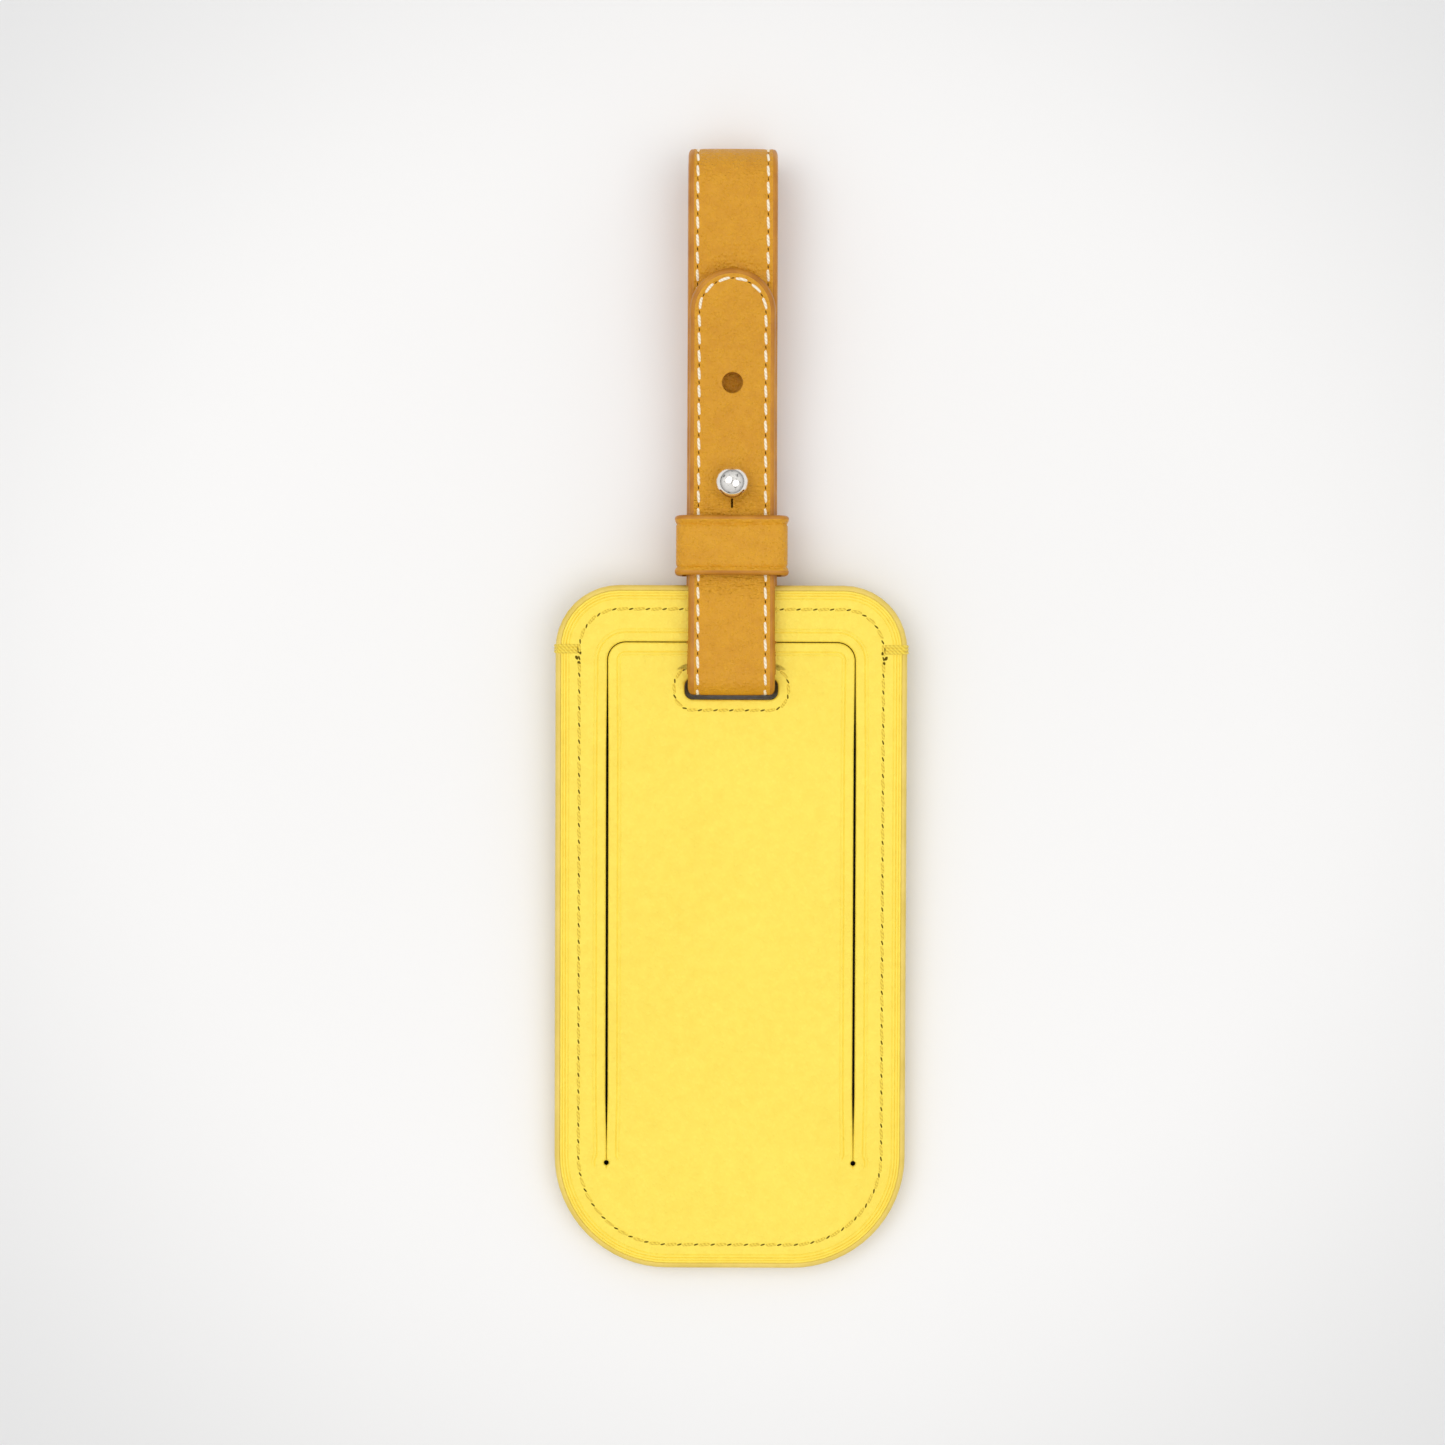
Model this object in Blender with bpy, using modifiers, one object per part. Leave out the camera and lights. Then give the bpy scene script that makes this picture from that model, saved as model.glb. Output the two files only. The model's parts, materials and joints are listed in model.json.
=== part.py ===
"""Leather luggage tag: a sewn card pocket with a folding flap, held by a buckled strap loop.

World frame: +X across the tag, +Y from the tag's foot towards the strap's fold, +Z out of its
front. The object lies on its back. The origin is at the bottom centre of the whole object.

The tag leans on the strap that runs behind it, so its pieces are built flat in the frame of
the empty "tag_axes": x across, y up from the foot, z out of the back panel's rear face.
"""

import math

import bmesh
import bpy
import numpy as np

MM = 0.001
GAP = 0.3 * MM

# Tag body, in the tag's own frame.
TAG_HALF_WIDTH = 30.0 * MM
TAG_HEIGHT = 116.9 * MM
FOOT_RADIUS = 19.3 * MM
HEAD_RADIUS = 10.3 * MM
FOOT_Y = -95.7 * MM
TAG_TILT = math.radians(1.75)
SEAM_INSET = 4.1 * MM
INNER_LAYER_INSET = 0.8 * MM

# Layers of the tag, as heights above the rear face: (low, high).
BACK_PANEL = (0.0 * MM, 1.1 * MM)
STIFFENER = (1.25 * MM, 1.75 * MM)
CARD = (1.90 * MM, 2.15 * MM)
WINDOW = (2.30 * MM, 2.50 * MM)
FLAP_LINING = (2.65 * MM, 2.95 * MM)
FRONT_LEATHER = (3.10 * MM, 4.20 * MM)

# Flap cut out of the front panel.
HINGE_HEIGHT = 18.1 * MM
FLAP_TOP = 107.2 * MM
FLAP_HALF_WIDTH = 21.1 * MM
FLAP_CORNER = 3.1 * MM
CUT_WIDTH = 0.5 * MM
RELIEF_RADIUS = 0.45 * MM

# Strap slot, through every layer of the tag.
SLOT_HALF_WIDTH = 7.95 * MM
SLOT_LOW = 97.4 * MM
SLOT_HIGH = 101.1 * MM
SLOT_CORNER = 1.4 * MM
SLOT_SEAM_OFFSET = 1.8 * MM

# Card pocket. The insert's lower corners are cut round, in line with the tag's foot.
CARD_INSET = 4.8 * MM
CARD_LOW = CARD_INSET
CARD_HALF_WIDTH = TAG_HALF_WIDTH - CARD_INSET
CARD_FOOT_RADIUS = FOOT_RADIUS - CARD_INSET
CARD_HIGH = 93.7 * MM
POCKET_MOUTH = 106.0 * MM
SHEET_CORNER = 1.5 * MM
LINING_INSET = 1.0 * MM

# Threads.
SEAM_THREAD = 0.20 * MM
THREAD_CLEARANCE = 0.10 * MM
WRAP_THREAD = 0.22 * MM
WRAP_PITCH = 0.60 * MM

# Strap: one strip of face leather and lining, glued along the middle line of this route.
STRAP_HALF_WIDTH = 7.75 * MM
TIP_HALF_WIDTH = 7.25 * MM
STRAP_PLY = 1.05 * MM
PLY_OFFSET = (STRAP_PLY + GAP) / 2
STRAP_SEAM_INSET = 1.65 * MM
UNSEWN_BACK_LEG = 86.0 * MM
STUD_END_Y = 21.9 * MM
STUD_END_Z = 6.5 * MM
BEND_START_Y = 46.0 * MM
FOLD_TOP_Y = 95.33 * MM
BACK_LEG_Z = 1.2 * MM
FOLD_RADIUS = 5.4 * MM
SLOT_PASS_Y = 3.55 * MM
TURN_RADIUS = 2.0 * MM
FRONT_LEG_Z = 9.6 * MM
TIP_HINGE_Y = 33.7 * MM
TIP_END_Y = 74.3 * MM
SPARE_HOLE_Y = 55.2 * MM
HOLE_RADIUS = 1.78 * MM

# Stud.
STUD_Y = 38.2 * MM
BALL_RADIUS = 2.85 * MM
BALL_Z = 13.0 * MM
NECK_RADIUS = 1.5 * MM
STUD_HOLE_RADIUS = NECK_RADIUS + GAP

# Keeper band.
KEEPER_Y = (22.6 * MM, 32.7 * MM)
KEEPER_HALF_WIDTH = 9.55 * MM
KEEPER_Z = (3.8 * MM, 12.7 * MM)
KEEPER_WALL = 1.2 * MM
KEEPER_CORNER = 2.0 * MM

YELLOW = (0.98, 0.74, 0.10)
TAN = (0.68, 0.32, 0.05)
CREAM = (1.0, 0.88, 0.68)


# ---------------------------------------------------------------- set-up


def clear_scene():
    for obj in list(bpy.data.objects):
        bpy.data.objects.remove(obj, do_unlink=True)


def new_collection(name):
    collection = bpy.data.collections.new(name)
    bpy.context.scene.collection.children.link(collection)
    return collection


clear_scene()
PARTS = new_collection("luggage_tag")
CUTTERS = new_collection("cutters")


def material(name, colour, roughness, metallic=0.0):
    found = bpy.data.materials.get(name)
    if found:
        return found
    made = bpy.data.materials.new(name)
    made.use_nodes = True
    shader = made.node_tree.nodes["Principled BSDF"]
    shader.inputs["Base Color"].default_value = (*colour, 1.0)
    shader.inputs["Roughness"].default_value = roughness
    shader.inputs["Metallic"].default_value = metallic
    return made


def yellow_leather():
    return material("yellow_leather", YELLOW, 0.5)


def tan_leather():
    return material("tan_leather", TAN, 0.45)


def yellow_thread():
    return material("yellow_thread", YELLOW, 0.7)


def cream_thread():
    return material("cream_thread", CREAM, 0.7)


def steel():
    return material("polished_steel", (0.8, 0.8, 0.8), 0.12, 1.0)


def empty(name, parent=None, location=(0, 0, 0), tilt=0.0):
    obj = bpy.data.objects.new(name, None)
    obj.empty_display_size = 0.01
    obj.location = location
    obj.rotation_euler = (tilt, 0, 0)
    obj.parent = parent
    PARTS.objects.link(obj)
    return obj


def place(obj, skin, parent, location=(0, 0, 0)):
    """Links a finished object to the parts, under its parent."""
    obj.data.materials.clear()
    obj.data.materials.append(skin)
    obj.parent = parent
    obj.location = location
    PARTS.objects.link(obj)
    return obj


# ---------------------------------------------------------------- outlines


def arc(centre, radius, start, end, steps=6):
    """Points of an arc, from and to angles in degrees."""
    turns = [math.radians(start + (end - start) * k / steps) for k in range(steps + 1)]
    return [(centre[0] + radius * math.cos(t), centre[1] + radius * math.sin(t)) for t in turns]


def rounded_box(half_width, low, high, foot_radius, head_radius, steps=6):
    """A rectangle about x = 0 with one radius at both foot corners and one at both head corners."""
    foot, head = half_width - foot_radius, half_width - head_radius
    return (
        arc((foot, low + foot_radius), foot_radius, -90, 0, steps)
        + arc((head, high - head_radius), head_radius, 0, 90, steps)
        + arc((-head, high - head_radius), head_radius, 90, 180, steps)
        + arc((-foot, low + foot_radius), foot_radius, 180, 270, steps)
    )


def tag_outline(inset=0.0):
    return rounded_box(
        TAG_HALF_WIDTH - inset,
        inset,
        TAG_HEIGHT - inset,
        FOOT_RADIUS - inset,
        HEAD_RADIUS - inset,
        steps=10,
    )


def slot_outline(margin=0.0):
    radius = SLOT_CORNER + margin
    return rounded_box(
        SLOT_HALF_WIDTH + margin, SLOT_LOW - margin, SLOT_HIGH + margin, radius, radius, steps=5
    )


def flap_opening():
    """The opening that the flap leaves in the front panel, with a relief hole at each lower end."""
    half = FLAP_HALF_WIDTH + CUT_WIDTH / 2
    top = FLAP_TOP + CUT_WIDTH / 2
    foot = HINGE_HEIGHT - GAP / 2
    corner = FLAP_CORNER + CUT_WIDTH / 2
    rise = math.degrees(math.acos((half - FLAP_HALF_WIDTH) / RELIEF_RADIUS))
    fall = math.degrees(math.asin((HINGE_HEIGHT - foot) / RELIEF_RADIUS))
    right = (FLAP_HALF_WIDTH, HINGE_HEIGHT)
    left = (-FLAP_HALF_WIDTH, HINGE_HEIGHT)
    return (
        arc(right, RELIEF_RADIUS, -180 + fall, rise, 8)
        + arc((half - corner, top - corner), corner, 0, 90)
        + arc((corner - half, top - corner), corner, 90, 180)
        + arc(left, RELIEF_RADIUS, 180 - rise, 360 - fall, 8)
    )


def shifted(points, dy):
    return [(x, y + dy) for x, y in points]


# ---------------------------------------------------------------- solids


def as_mesh(curve_object):
    """The curve as a welded mesh object with the same place."""
    PARTS.objects.link(curve_object)
    graph = bpy.context.evaluated_depsgraph_get()
    mesh = bpy.data.meshes.new_from_object(curve_object.evaluated_get(graph))
    welded = bmesh.new()
    welded.from_mesh(mesh)
    bmesh.ops.remove_doubles(welded, verts=welded.verts, dist=0.001 * MM)
    welded.to_mesh(mesh)
    welded.free()
    solid = bpy.data.objects.new("solid", mesh)
    solid.matrix_world = curve_object.matrix_world.copy()
    bpy.data.objects.remove(curve_object, do_unlink=True)
    return solid


def add_spline(curve, points, cyclic):
    spline = curve.splines.new("POLY")
    spline.points.add(len(points) - 1)
    for knot, point in zip(spline.points, points):
        knot.co = (*point, 1.0)
    spline.use_cyclic_u = cyclic


def plate(name, outlines, layer, skin, parent, location=(0, 0, 0)):
    """A flat piece between two heights, from its outline and the outlines of its holes."""
    low, high = layer
    curve = bpy.data.curves.new(name, "CURVE")
    curve.dimensions = "2D"
    curve.fill_mode = "BOTH"
    curve.extrude = (high - low) / 2
    for outline in outlines:
        add_spline(curve, [(x, y, 0.0) for x, y in outline], cyclic=True)
    solid = as_mesh(bpy.data.objects.new(name, curve))
    solid.name = name
    x, y, z = location
    return place(solid, skin, parent, (x, y, z + (low + high) / 2))


def thread(name, points, radius, skin, parent, cyclic=False):
    """A seam's thread, as one tube along its line."""
    curve = bpy.data.curves.new(name, "CURVE")
    curve.dimensions = "3D"
    curve.bevel_depth = radius
    curve.bevel_resolution = 1
    curve.use_fill_caps = True
    add_spline(curve, points, cyclic)
    solid = as_mesh(bpy.data.objects.new(name, curve))
    solid.name = name
    return place(solid, skin, parent)


def cut(obj, cutter):
    step = obj.modifiers.new("cut", "BOOLEAN")
    step.operation = "DIFFERENCE"
    step.object = cutter


def cutter_of(name, mesh_maker, location):
    """A hidden cutting body, from a function that fills a bmesh."""
    shape = bmesh.new()
    mesh_maker(shape)
    mesh = bpy.data.meshes.new(name)
    shape.to_mesh(mesh)
    shape.free()
    obj = bpy.data.objects.new(name, mesh)
    obj.location = location
    obj.hide_render = True
    obj.display_type = "WIRE"
    CUTTERS.objects.link(obj)
    return obj


def round_cutter(name, radius, location, depth=30 * MM):
    def fill(shape):
        bmesh.ops.create_cone(
            shape, cap_ends=True, segments=24, radius1=radius, radius2=radius, depth=depth
        )

    return cutter_of(name, fill, location)


def box_cutter(name, size, location):
    def fill(shape):
        bmesh.ops.create_cube(shape, size=1.0)
        bmesh.ops.scale(shape, vec=size, verts=shape.verts)

    return cutter_of(name, fill, location)


def turned(name, profile, skin, parent, location, steps=24):
    """A body turned about Z from a profile of (radius, height) that runs top to bottom."""
    mesh = bpy.data.meshes.new(name)
    edges = [(k, k + 1) for k in range(len(profile) - 1)]
    mesh.from_pydata([(r, 0.0, z) for r, z in profile], edges, [])
    obj = bpy.data.objects.new(name, mesh)
    screw = obj.modifiers.new("turn", "SCREW")
    screw.steps = steps
    screw.render_steps = steps
    screw.use_merge_vertices = True
    screw.merge_threshold = 0.001 * MM
    screw.use_smooth_shade = True
    return place(obj, skin, parent, location)


# ---------------------------------------------------------------- strap route


class Route:
    """A line in the YZ plane, read by the distance along it, with its outward normal."""

    def __init__(self, points):
        self.points = np.array(points)
        steps = np.linalg.norm(np.diff(self.points, axis=0), axis=1)
        self.lengths = np.concatenate([[0.0], np.cumsum(steps)])
        self.length = float(self.lengths[-1])
        ahead = np.gradient(self.points, axis=0)
        ahead /= np.linalg.norm(ahead, axis=1)[:, None]
        self.normals = np.stack([-ahead[:, 1], ahead[:, 0]], axis=1)

    def at(self, s, offset=0.0):
        """The (y, z) at distance s, moved outward by offset."""
        point = [np.interp(s, self.lengths, self.points[:, k]) for k in (0, 1)]
        normal = [np.interp(s, self.lengths, self.normals[:, k]) for k in (0, 1)]
        return [p + offset * n for p, n in zip(point, normal)]

    def distance_at_y(self, y):
        """The distance at which a route that only climbs in y reaches this y."""
        return float(np.interp(y, self.points[:, 0], self.lengths))


def straight(start, end, steps=1):
    return [tuple(np.array(start) + (np.array(end) - start) * k / steps) for k in range(steps + 1)]


def joined(*parts):
    points = []
    for part in parts:
        points += part if not points else part[1:]
    return points


def stud_end_line():
    """From the strap's hidden end up the front, rising in a soft S to the top of the fold."""
    rise = 2 * FOLD_RADIUS + BACK_LEG_Z - STUD_END_Z
    fold_y = FOLD_TOP_Y - FOLD_RADIUS - STRAP_PLY - GAP / 2
    run = fold_y - BEND_START_Y
    bend = []
    for k in range(15):
        t = k / 14
        smooth = t * t * (3 - 2 * t)
        bend.append((BEND_START_Y + run * t, STUD_END_Z + rise * smooth))
    return straight((STUD_END_Y, STUD_END_Z), (BEND_START_Y, STUD_END_Z), 3) + bend[1:]


def loop_route():
    """Stud end, fold and back leg, down to just above the slot."""
    front = stud_end_line()
    fold_y = front[-1][0]
    fold = arc((fold_y, BACK_LEG_Z + FOLD_RADIUS), FOLD_RADIUS, 90, -90, 14)
    back = straight((fold_y, BACK_LEG_Z), (SLOT_PASS_Y + TURN_RADIUS + GAP, BACK_LEG_Z), 8)
    return Route(joined(front, fold, back))


def turn_route():
    """The strap's turn forward through the slot."""
    centre_y = SLOT_PASS_Y + TURN_RADIUS
    lower = arc((centre_y, BACK_LEG_Z + TURN_RADIUS), TURN_RADIUS, -90, -180, 6)
    upper = arc((centre_y, FRONT_LEG_Z - TURN_RADIUS), TURN_RADIUS, 180, 90, 6)
    return Route(joined(lower, straight(lower[-1], upper[0]), upper))


def front_leg_route():
    start = (SLOT_PASS_Y + TURN_RADIUS + GAP, FRONT_LEG_Z)
    return Route(straight(start, (TIP_HINGE_Y - GAP / 2, FRONT_LEG_Z), 3))


def tip_route():
    """The tip lies parallel to the stud end beneath it."""
    under = Route(stud_end_line())
    rise = FRONT_LEG_Z - STUD_END_Z
    first = under.distance_at_y(TIP_HINGE_Y + GAP / 2)
    last = under.distance_at_y(TIP_END_Y + 0.5 * MM)
    return Route([under.at(first + (last - first) * k / 24, rise) for k in range(25)])


LOOP = loop_route()
TURN = turn_route()
FRONT_LEG = front_leg_route()
TIP = tip_route()
TOTAL = LOOP.length + TURN.length + FRONT_LEG.length + TIP.length


def half_width_at(route_start, s):
    """The strap narrows evenly from its stud end to its tip."""
    return STRAP_HALF_WIDTH + (TIP_HALF_WIDTH - STRAP_HALF_WIDTH) * (route_start + s) / TOTAL


def strip(name, route, stations, offset, skin, parent):
    """A strip of leather along a route: stations are (distance, half width)."""
    mesh = bmesh.new()
    pairs = []
    for s, half in stations:
        y, z = route.at(s, offset)
        pairs.append([mesh.verts.new((side * half, y, z)) for side in (1, -1)])
    for (right, left), (next_right, next_left) in zip(pairs, pairs[1:]):
        mesh.faces.new((left, right, next_right, next_left))
    data = bpy.data.meshes.new(name)
    mesh.to_mesh(data)
    mesh.free()
    obj = bpy.data.objects.new(name, data)
    solid = obj.modifiers.new("ply", "SOLIDIFY")
    solid.thickness = STRAP_PLY
    solid.offset = 0.0
    solid.use_even_offset = True
    return place(obj, skin, parent)


def plain_stations(route, route_start):
    return [(s, half_width_at(route_start, s)) for s in route.lengths]


def tip_stations():
    """Straight sides, then a round end."""
    round_start = TIP.length - TIP_HALF_WIDTH
    stations = [(s, TIP_HALF_WIDTH) for s in TIP.lengths if s < round_start - 0.5 * MM]
    for k in range(9):
        turn = math.radians(84 * k / 8)
        along = round_start + TIP_HALF_WIDTH * math.sin(turn)
        stations.append((along, TIP_HALF_WIDTH * math.cos(turn)))
    return stations


# ---------------------------------------------------------------- tag


def build_tag(tag):
    outline = tag_outline()
    slot = slot_outline()
    plate("back_panel", [outline, slot], BACK_PANEL, yellow_leather(), tag)
    board = material("grey_board", (0.35, 0.33, 0.30), 0.9)
    plate("stiffener_board", [tag_outline(INNER_LAYER_INSET), slot], STIFFENER, board, tag)
    clear = material("clear_sheet", (0.85, 0.88, 0.9), 0.1)
    sheet = rounded_box(
        TAG_HALF_WIDTH - INNER_LAYER_INSET,
        INNER_LAYER_INSET,
        POCKET_MOUTH,
        FOOT_RADIUS - INNER_LAYER_INSET,
        SHEET_CORNER,
        steps=8,
    )
    plate("window_sheet", [sheet, slot_outline(0.4 * MM)], WINDOW, clear, tag)
    plate("front_frame", [outline, flap_opening()], FRONT_LEATHER, yellow_leather(), tag)
    front = FRONT_LEATHER[1] + THREAD_CLEARANCE + SEAM_THREAD
    seam = [(x, y, front) for x, y in tag_outline(SEAM_INSET)]
    thread("perimeter_thread", seam, SEAM_THREAD, yellow_thread(), tag, cyclic=True)
    rear = -THREAD_CLEARANCE - SEAM_THREAD
    ring = [(x, y, rear) for x, y in slot_outline(SLOT_SEAM_OFFSET)]
    thread("back_slot_thread", ring, SEAM_THREAD, yellow_thread(), tag, cyclic=True)


def build_edge_wrap(name, side, tag):
    """Three strands that wrap over the edge at the pocket's mouth, laid as one run."""
    clear = THREAD_CLEARANCE + WRAP_THREAD
    inner = TAG_HALF_WIDTH - SEAM_INSET + 0.6 * MM
    outer = TAG_HALF_WIDTH + clear
    front, rear = FRONT_LEATHER[1] + clear, -clear
    points = []
    for strand in range(3):
        y = POCKET_MOUTH + (strand - 1) * WRAP_PITCH
        run = [(inner, front), (outer, front), (outer, rear), (inner, rear)]
        if strand % 2:
            run.reverse()
        points += [(side * x, y, z) for x, z in run]
    thread(name, points, WRAP_THREAD, yellow_thread(), tag)


def build_flap(hinge):
    """Built about the hinge empty, which lies on the front face at the flap's lower edge."""
    drop = -HINGE_HEIGHT
    front = FRONT_LEATHER[1]
    half = FLAP_HALF_WIDTH - CUT_WIDTH / 2
    top = FLAP_TOP - CUT_WIDTH / 2
    outline = rounded_box(half, HINGE_HEIGHT + GAP / 2, top, RELIEF_RADIUS, FLAP_CORNER)
    slot = slot_outline()
    layer = [height - front for height in FRONT_LEATHER]
    leather = [shifted(outline, drop), shifted(slot, drop)]
    plate("flap_leather", leather, layer, yellow_leather(), hinge)
    inner = rounded_box(
        half - LINING_INSET,
        HINGE_HEIGHT + LINING_INSET,
        top - LINING_INSET,
        FLAP_CORNER / 2,
        FLAP_CORNER - LINING_INSET,
    )
    backing = material("lining_cloth", (0.85, 0.74, 0.45), 0.85)
    layer = [height - front for height in FLAP_LINING]
    plate("flap_lining", [shifted(inner, drop), shifted(slot, drop)], layer, backing, hinge)
    above = THREAD_CLEARANCE + SEAM_THREAD
    ring = [(x, y, above) for x, y in shifted(slot_outline(SLOT_SEAM_OFFSET), drop)]
    thread("flap_slot_thread", ring, SEAM_THREAD, yellow_thread(), hinge, cyclic=True)


def build_card(pocket):
    paper = material("card_paper", (0.92, 0.91, 0.87), 0.8)
    middle = (CARD_LOW + CARD_HIGH) / 2
    half = (CARD_HIGH - CARD_LOW) / 2
    outline = rounded_box(CARD_HALF_WIDTH, -half, half, CARD_FOOT_RADIUS, SHEET_CORNER)
    plate("address_card", [outline], CARD, paper, pocket, (0, middle, 0))


# ---------------------------------------------------------------- strap


def build_plies(names, route, stations, parent):
    """The face ply and the lining ply of one stretch of strap."""
    origin = parent.matrix_world.translation
    made = []
    for name, side in zip(names, (1, -1)):
        obj = strip(name, route, stations, side * PLY_OFFSET, tan_leather(), parent)
        obj.location = -origin
        made.append(obj)
    return made


def strap_seam(name, route, stations, side, parent):
    """The thread along one edge, on the strap's outer face."""
    above = PLY_OFFSET + STRAP_PLY / 2 + THREAD_CLEARANCE + SEAM_THREAD
    points = []
    for s, half in stations:
        y, z = route.at(s, above)
        points.append((side * (half - STRAP_SEAM_INSET), y, z))
    made = thread(name, points, SEAM_THREAD, cream_thread(), parent)
    made.location = -parent.matrix_world.translation


def tip_seam(parent):
    """One thread up one side of the tip, round its end and down the other side."""
    above = PLY_OFFSET + STRAP_PLY / 2 + THREAD_CLEARANCE + SEAM_THREAD
    reach = TIP_HALF_WIDTH - STRAP_SEAM_INSET
    round_start = TIP.length - TIP_HALF_WIDTH
    hinge_clear = 0.7 * MM
    side = [hinge_clear] + [s for s in TIP.lengths if hinge_clear < s < round_start - 0.5 * MM]
    flat = [(reach, s) for s in side]
    flat += [(x, round_start + s) for x, s in arc((0, 0), reach, 0, 180, 16)]
    flat += [(-reach, s) for s in reversed(side)]
    points = []
    for x, s in flat:
        y, z = TIP.at(s, above)
        points.append((x, y, z))
    made = thread("tip_thread", points, SEAM_THREAD, cream_thread(), parent)
    made.location = -parent.matrix_world.translation


def build_strap(slot_axes, loop_axes, tip_axes):
    turn_stations = plain_stations(TURN, LOOP.length)
    build_plies(("turn_face", "turn_lining"), TURN, turn_stations, slot_axes)

    loop_stations = plain_stations(LOOP, 0.0)
    plies = build_plies(("strap_face", "strap_lining"), LOOP, loop_stations, loop_axes)
    stud_hole = round_cutter("stud_hole", STUD_HOLE_RADIUS, (0, STUD_Y, STUD_END_Z), 4 * MM)
    for ply in plies:
        cut(ply, stud_hole)

    leg_stations = plain_stations(FRONT_LEG, LOOP.length + TURN.length)
    names = ("front_leg_face", "front_leg_lining")
    build_plies(names, FRONT_LEG, leg_stations, loop_axes)
    sewn = [pair for pair in loop_stations if pair[0] < LOOP.length - UNSEWN_BACK_LEG]
    for label, side in (("left", -1), ("right", 1)):
        strap_seam("strap_thread_" + label, LOOP, sewn, side, loop_axes)
        strap_seam("front_leg_thread_" + label, FRONT_LEG, leg_stations, side, loop_axes)

    buttonhole = round_cutter("buttonhole", HOLE_RADIUS, (0, STUD_Y, FRONT_LEG_Z), 6 * MM)
    slit_size = (0.4 * MM, 2.6 * MM, 6 * MM)
    slit = box_cutter("buttonhole_slit", slit_size, (0, STUD_Y - 2.8 * MM, FRONT_LEG_Z))
    spare = round_cutter("spare_hole", HOLE_RADIUS, (0, SPARE_HOLE_Y, FRONT_LEG_Z + 0.5 * MM), 8 * MM)
    for ply in build_plies(("tip_face", "tip_lining"), TIP, tip_stations(), tip_axes):
        for cutter in (buttonhole, slit, spare):
            cut(ply, cutter)
    tip_seam(tip_axes)


def build_stud(loop_axes):
    """Ball stud on the strap's hidden end, with the screw that clamps it from behind."""
    origin = loop_axes.matrix_world.translation
    base = STUD_END_Z - STRAP_PLY - GAP / 2
    top = STUD_END_Z + STRAP_PLY + GAP / 2
    bore = 0.9 * MM
    neck_meets = math.degrees(math.asin(NECK_RADIUS / BALL_RADIUS))
    ball = [
        (BALL_RADIUS * math.sin(t), BALL_Z + BALL_RADIUS * math.cos(t))
        for t in np.radians(np.linspace(0, 180 - neck_meets, 13))
    ]
    ball[0] = (0.0, BALL_Z + BALL_RADIUS)
    flange = 2.5 * MM
    foot = [
        (NECK_RADIUS, top + 0.45 * MM),
        (flange, top + 0.45 * MM),
        (flange, top + 0.15 * MM),
        (NECK_RADIUS, top + 0.15 * MM),
        (NECK_RADIUS, base),
        (bore, base),
        (bore, base + 4.0 * MM),
        (0.0, base + 4.0 * MM),
    ]
    place_at = (-origin[0], STUD_Y - origin[1], -origin[2])
    turned("stud", ball + foot, steel(), loop_axes, place_at)
    shank = 0.6 * MM
    head = 3.5 * MM
    screw = [
        (0.0, base + 3.7 * MM),
        (shank, base + 3.7 * MM),
        (shank, base - GAP),
        (head, base - GAP),
        (head, base - GAP - 0.7 * MM),
        (head - 0.3 * MM, base - GAP - 0.9 * MM),
        (0.0, base - GAP - 0.9 * MM),
    ]
    made = turned("stud_screw", screw, steel(), loop_axes, place_at)
    low = base - GAP - 0.9 * MM
    slot = box_cutter("driver_slot", (8 * MM, 0.8 * MM, 0.8 * MM), (0, STUD_Y, low))
    cut(made, slot)


def build_keeper(keeper_axes):
    """A band round both layers of the strap, closed behind by a staple."""
    low, high = KEEPER_Z
    half = (KEEPER_Y[1] - KEEPER_Y[0]) / 2
    outer = rounded_box(KEEPER_HALF_WIDTH, low, high, KEEPER_CORNER, KEEPER_CORNER)
    inner = rounded_box(
        KEEPER_HALF_WIDTH - KEEPER_WALL,
        low + KEEPER_WALL,
        high - KEEPER_WALL,
        KEEPER_CORNER - KEEPER_WALL,
        KEEPER_CORNER - KEEPER_WALL,
    )
    band = plate("keeper_band", [outer, inner], (-half, half), tan_leather(), keeper_axes)
    band.rotation_euler = (math.pi / 2, 0, 0)
    wire = 0.25 * MM
    height = low - THREAD_CLEARANCE - wire
    bar = [(x, 0.0, height) for x in (-2.5 * MM, 0.0, 2.5 * MM)]
    thread("keeper_staple", bar, wire, steel(), keeper_axes)


# ---------------------------------------------------------------- assembly


def main():
    tag = empty("tag_axes", None, (0, FOOT_Y, 0), TAG_TILT)
    flap_hinge = empty("flap_hinge_axes", tag, (0, HINGE_HEIGHT, FRONT_LEATHER[1]))
    card_pocket = empty("card_slide_axes", tag)
    slot_axes = empty("strap_off_axes", None, (0, SLOT_PASS_Y, 0))
    loop_axes = empty("strap_swing_axes", None, (0, SLOT_PASS_Y, 0))
    tip_top = FRONT_LEG_Z + STRAP_PLY + GAP / 2
    tip_axes = empty("tip_lift_axes", None, (0, TIP_HINGE_Y, tip_top))
    keeper_axes = empty("keeper_slide_axes", None, (0, sum(KEEPER_Y) / 2, 0))
    bpy.context.view_layer.update()

    build_tag(tag)
    build_edge_wrap("edge_wrap_left", -1, tag)
    build_edge_wrap("edge_wrap_right", 1, tag)
    build_flap(flap_hinge)
    build_card(card_pocket)
    build_strap(slot_axes, loop_axes, tip_axes)
    build_stud(loop_axes)
    build_keeper(keeper_axes)


main()
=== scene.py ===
"""Looks of a leather luggage tag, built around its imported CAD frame.

World frame: +X across the tag, +Y from its foot to the strap's fold, +Z out of its front.
Tag pieces are drawn flat as (x, v, w), v up from the foot and w out of the rear face, and
then leant by the tag's tilt. Strap pieces follow the strap's middle line in the YZ plane.
"""

import json
import math

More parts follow.
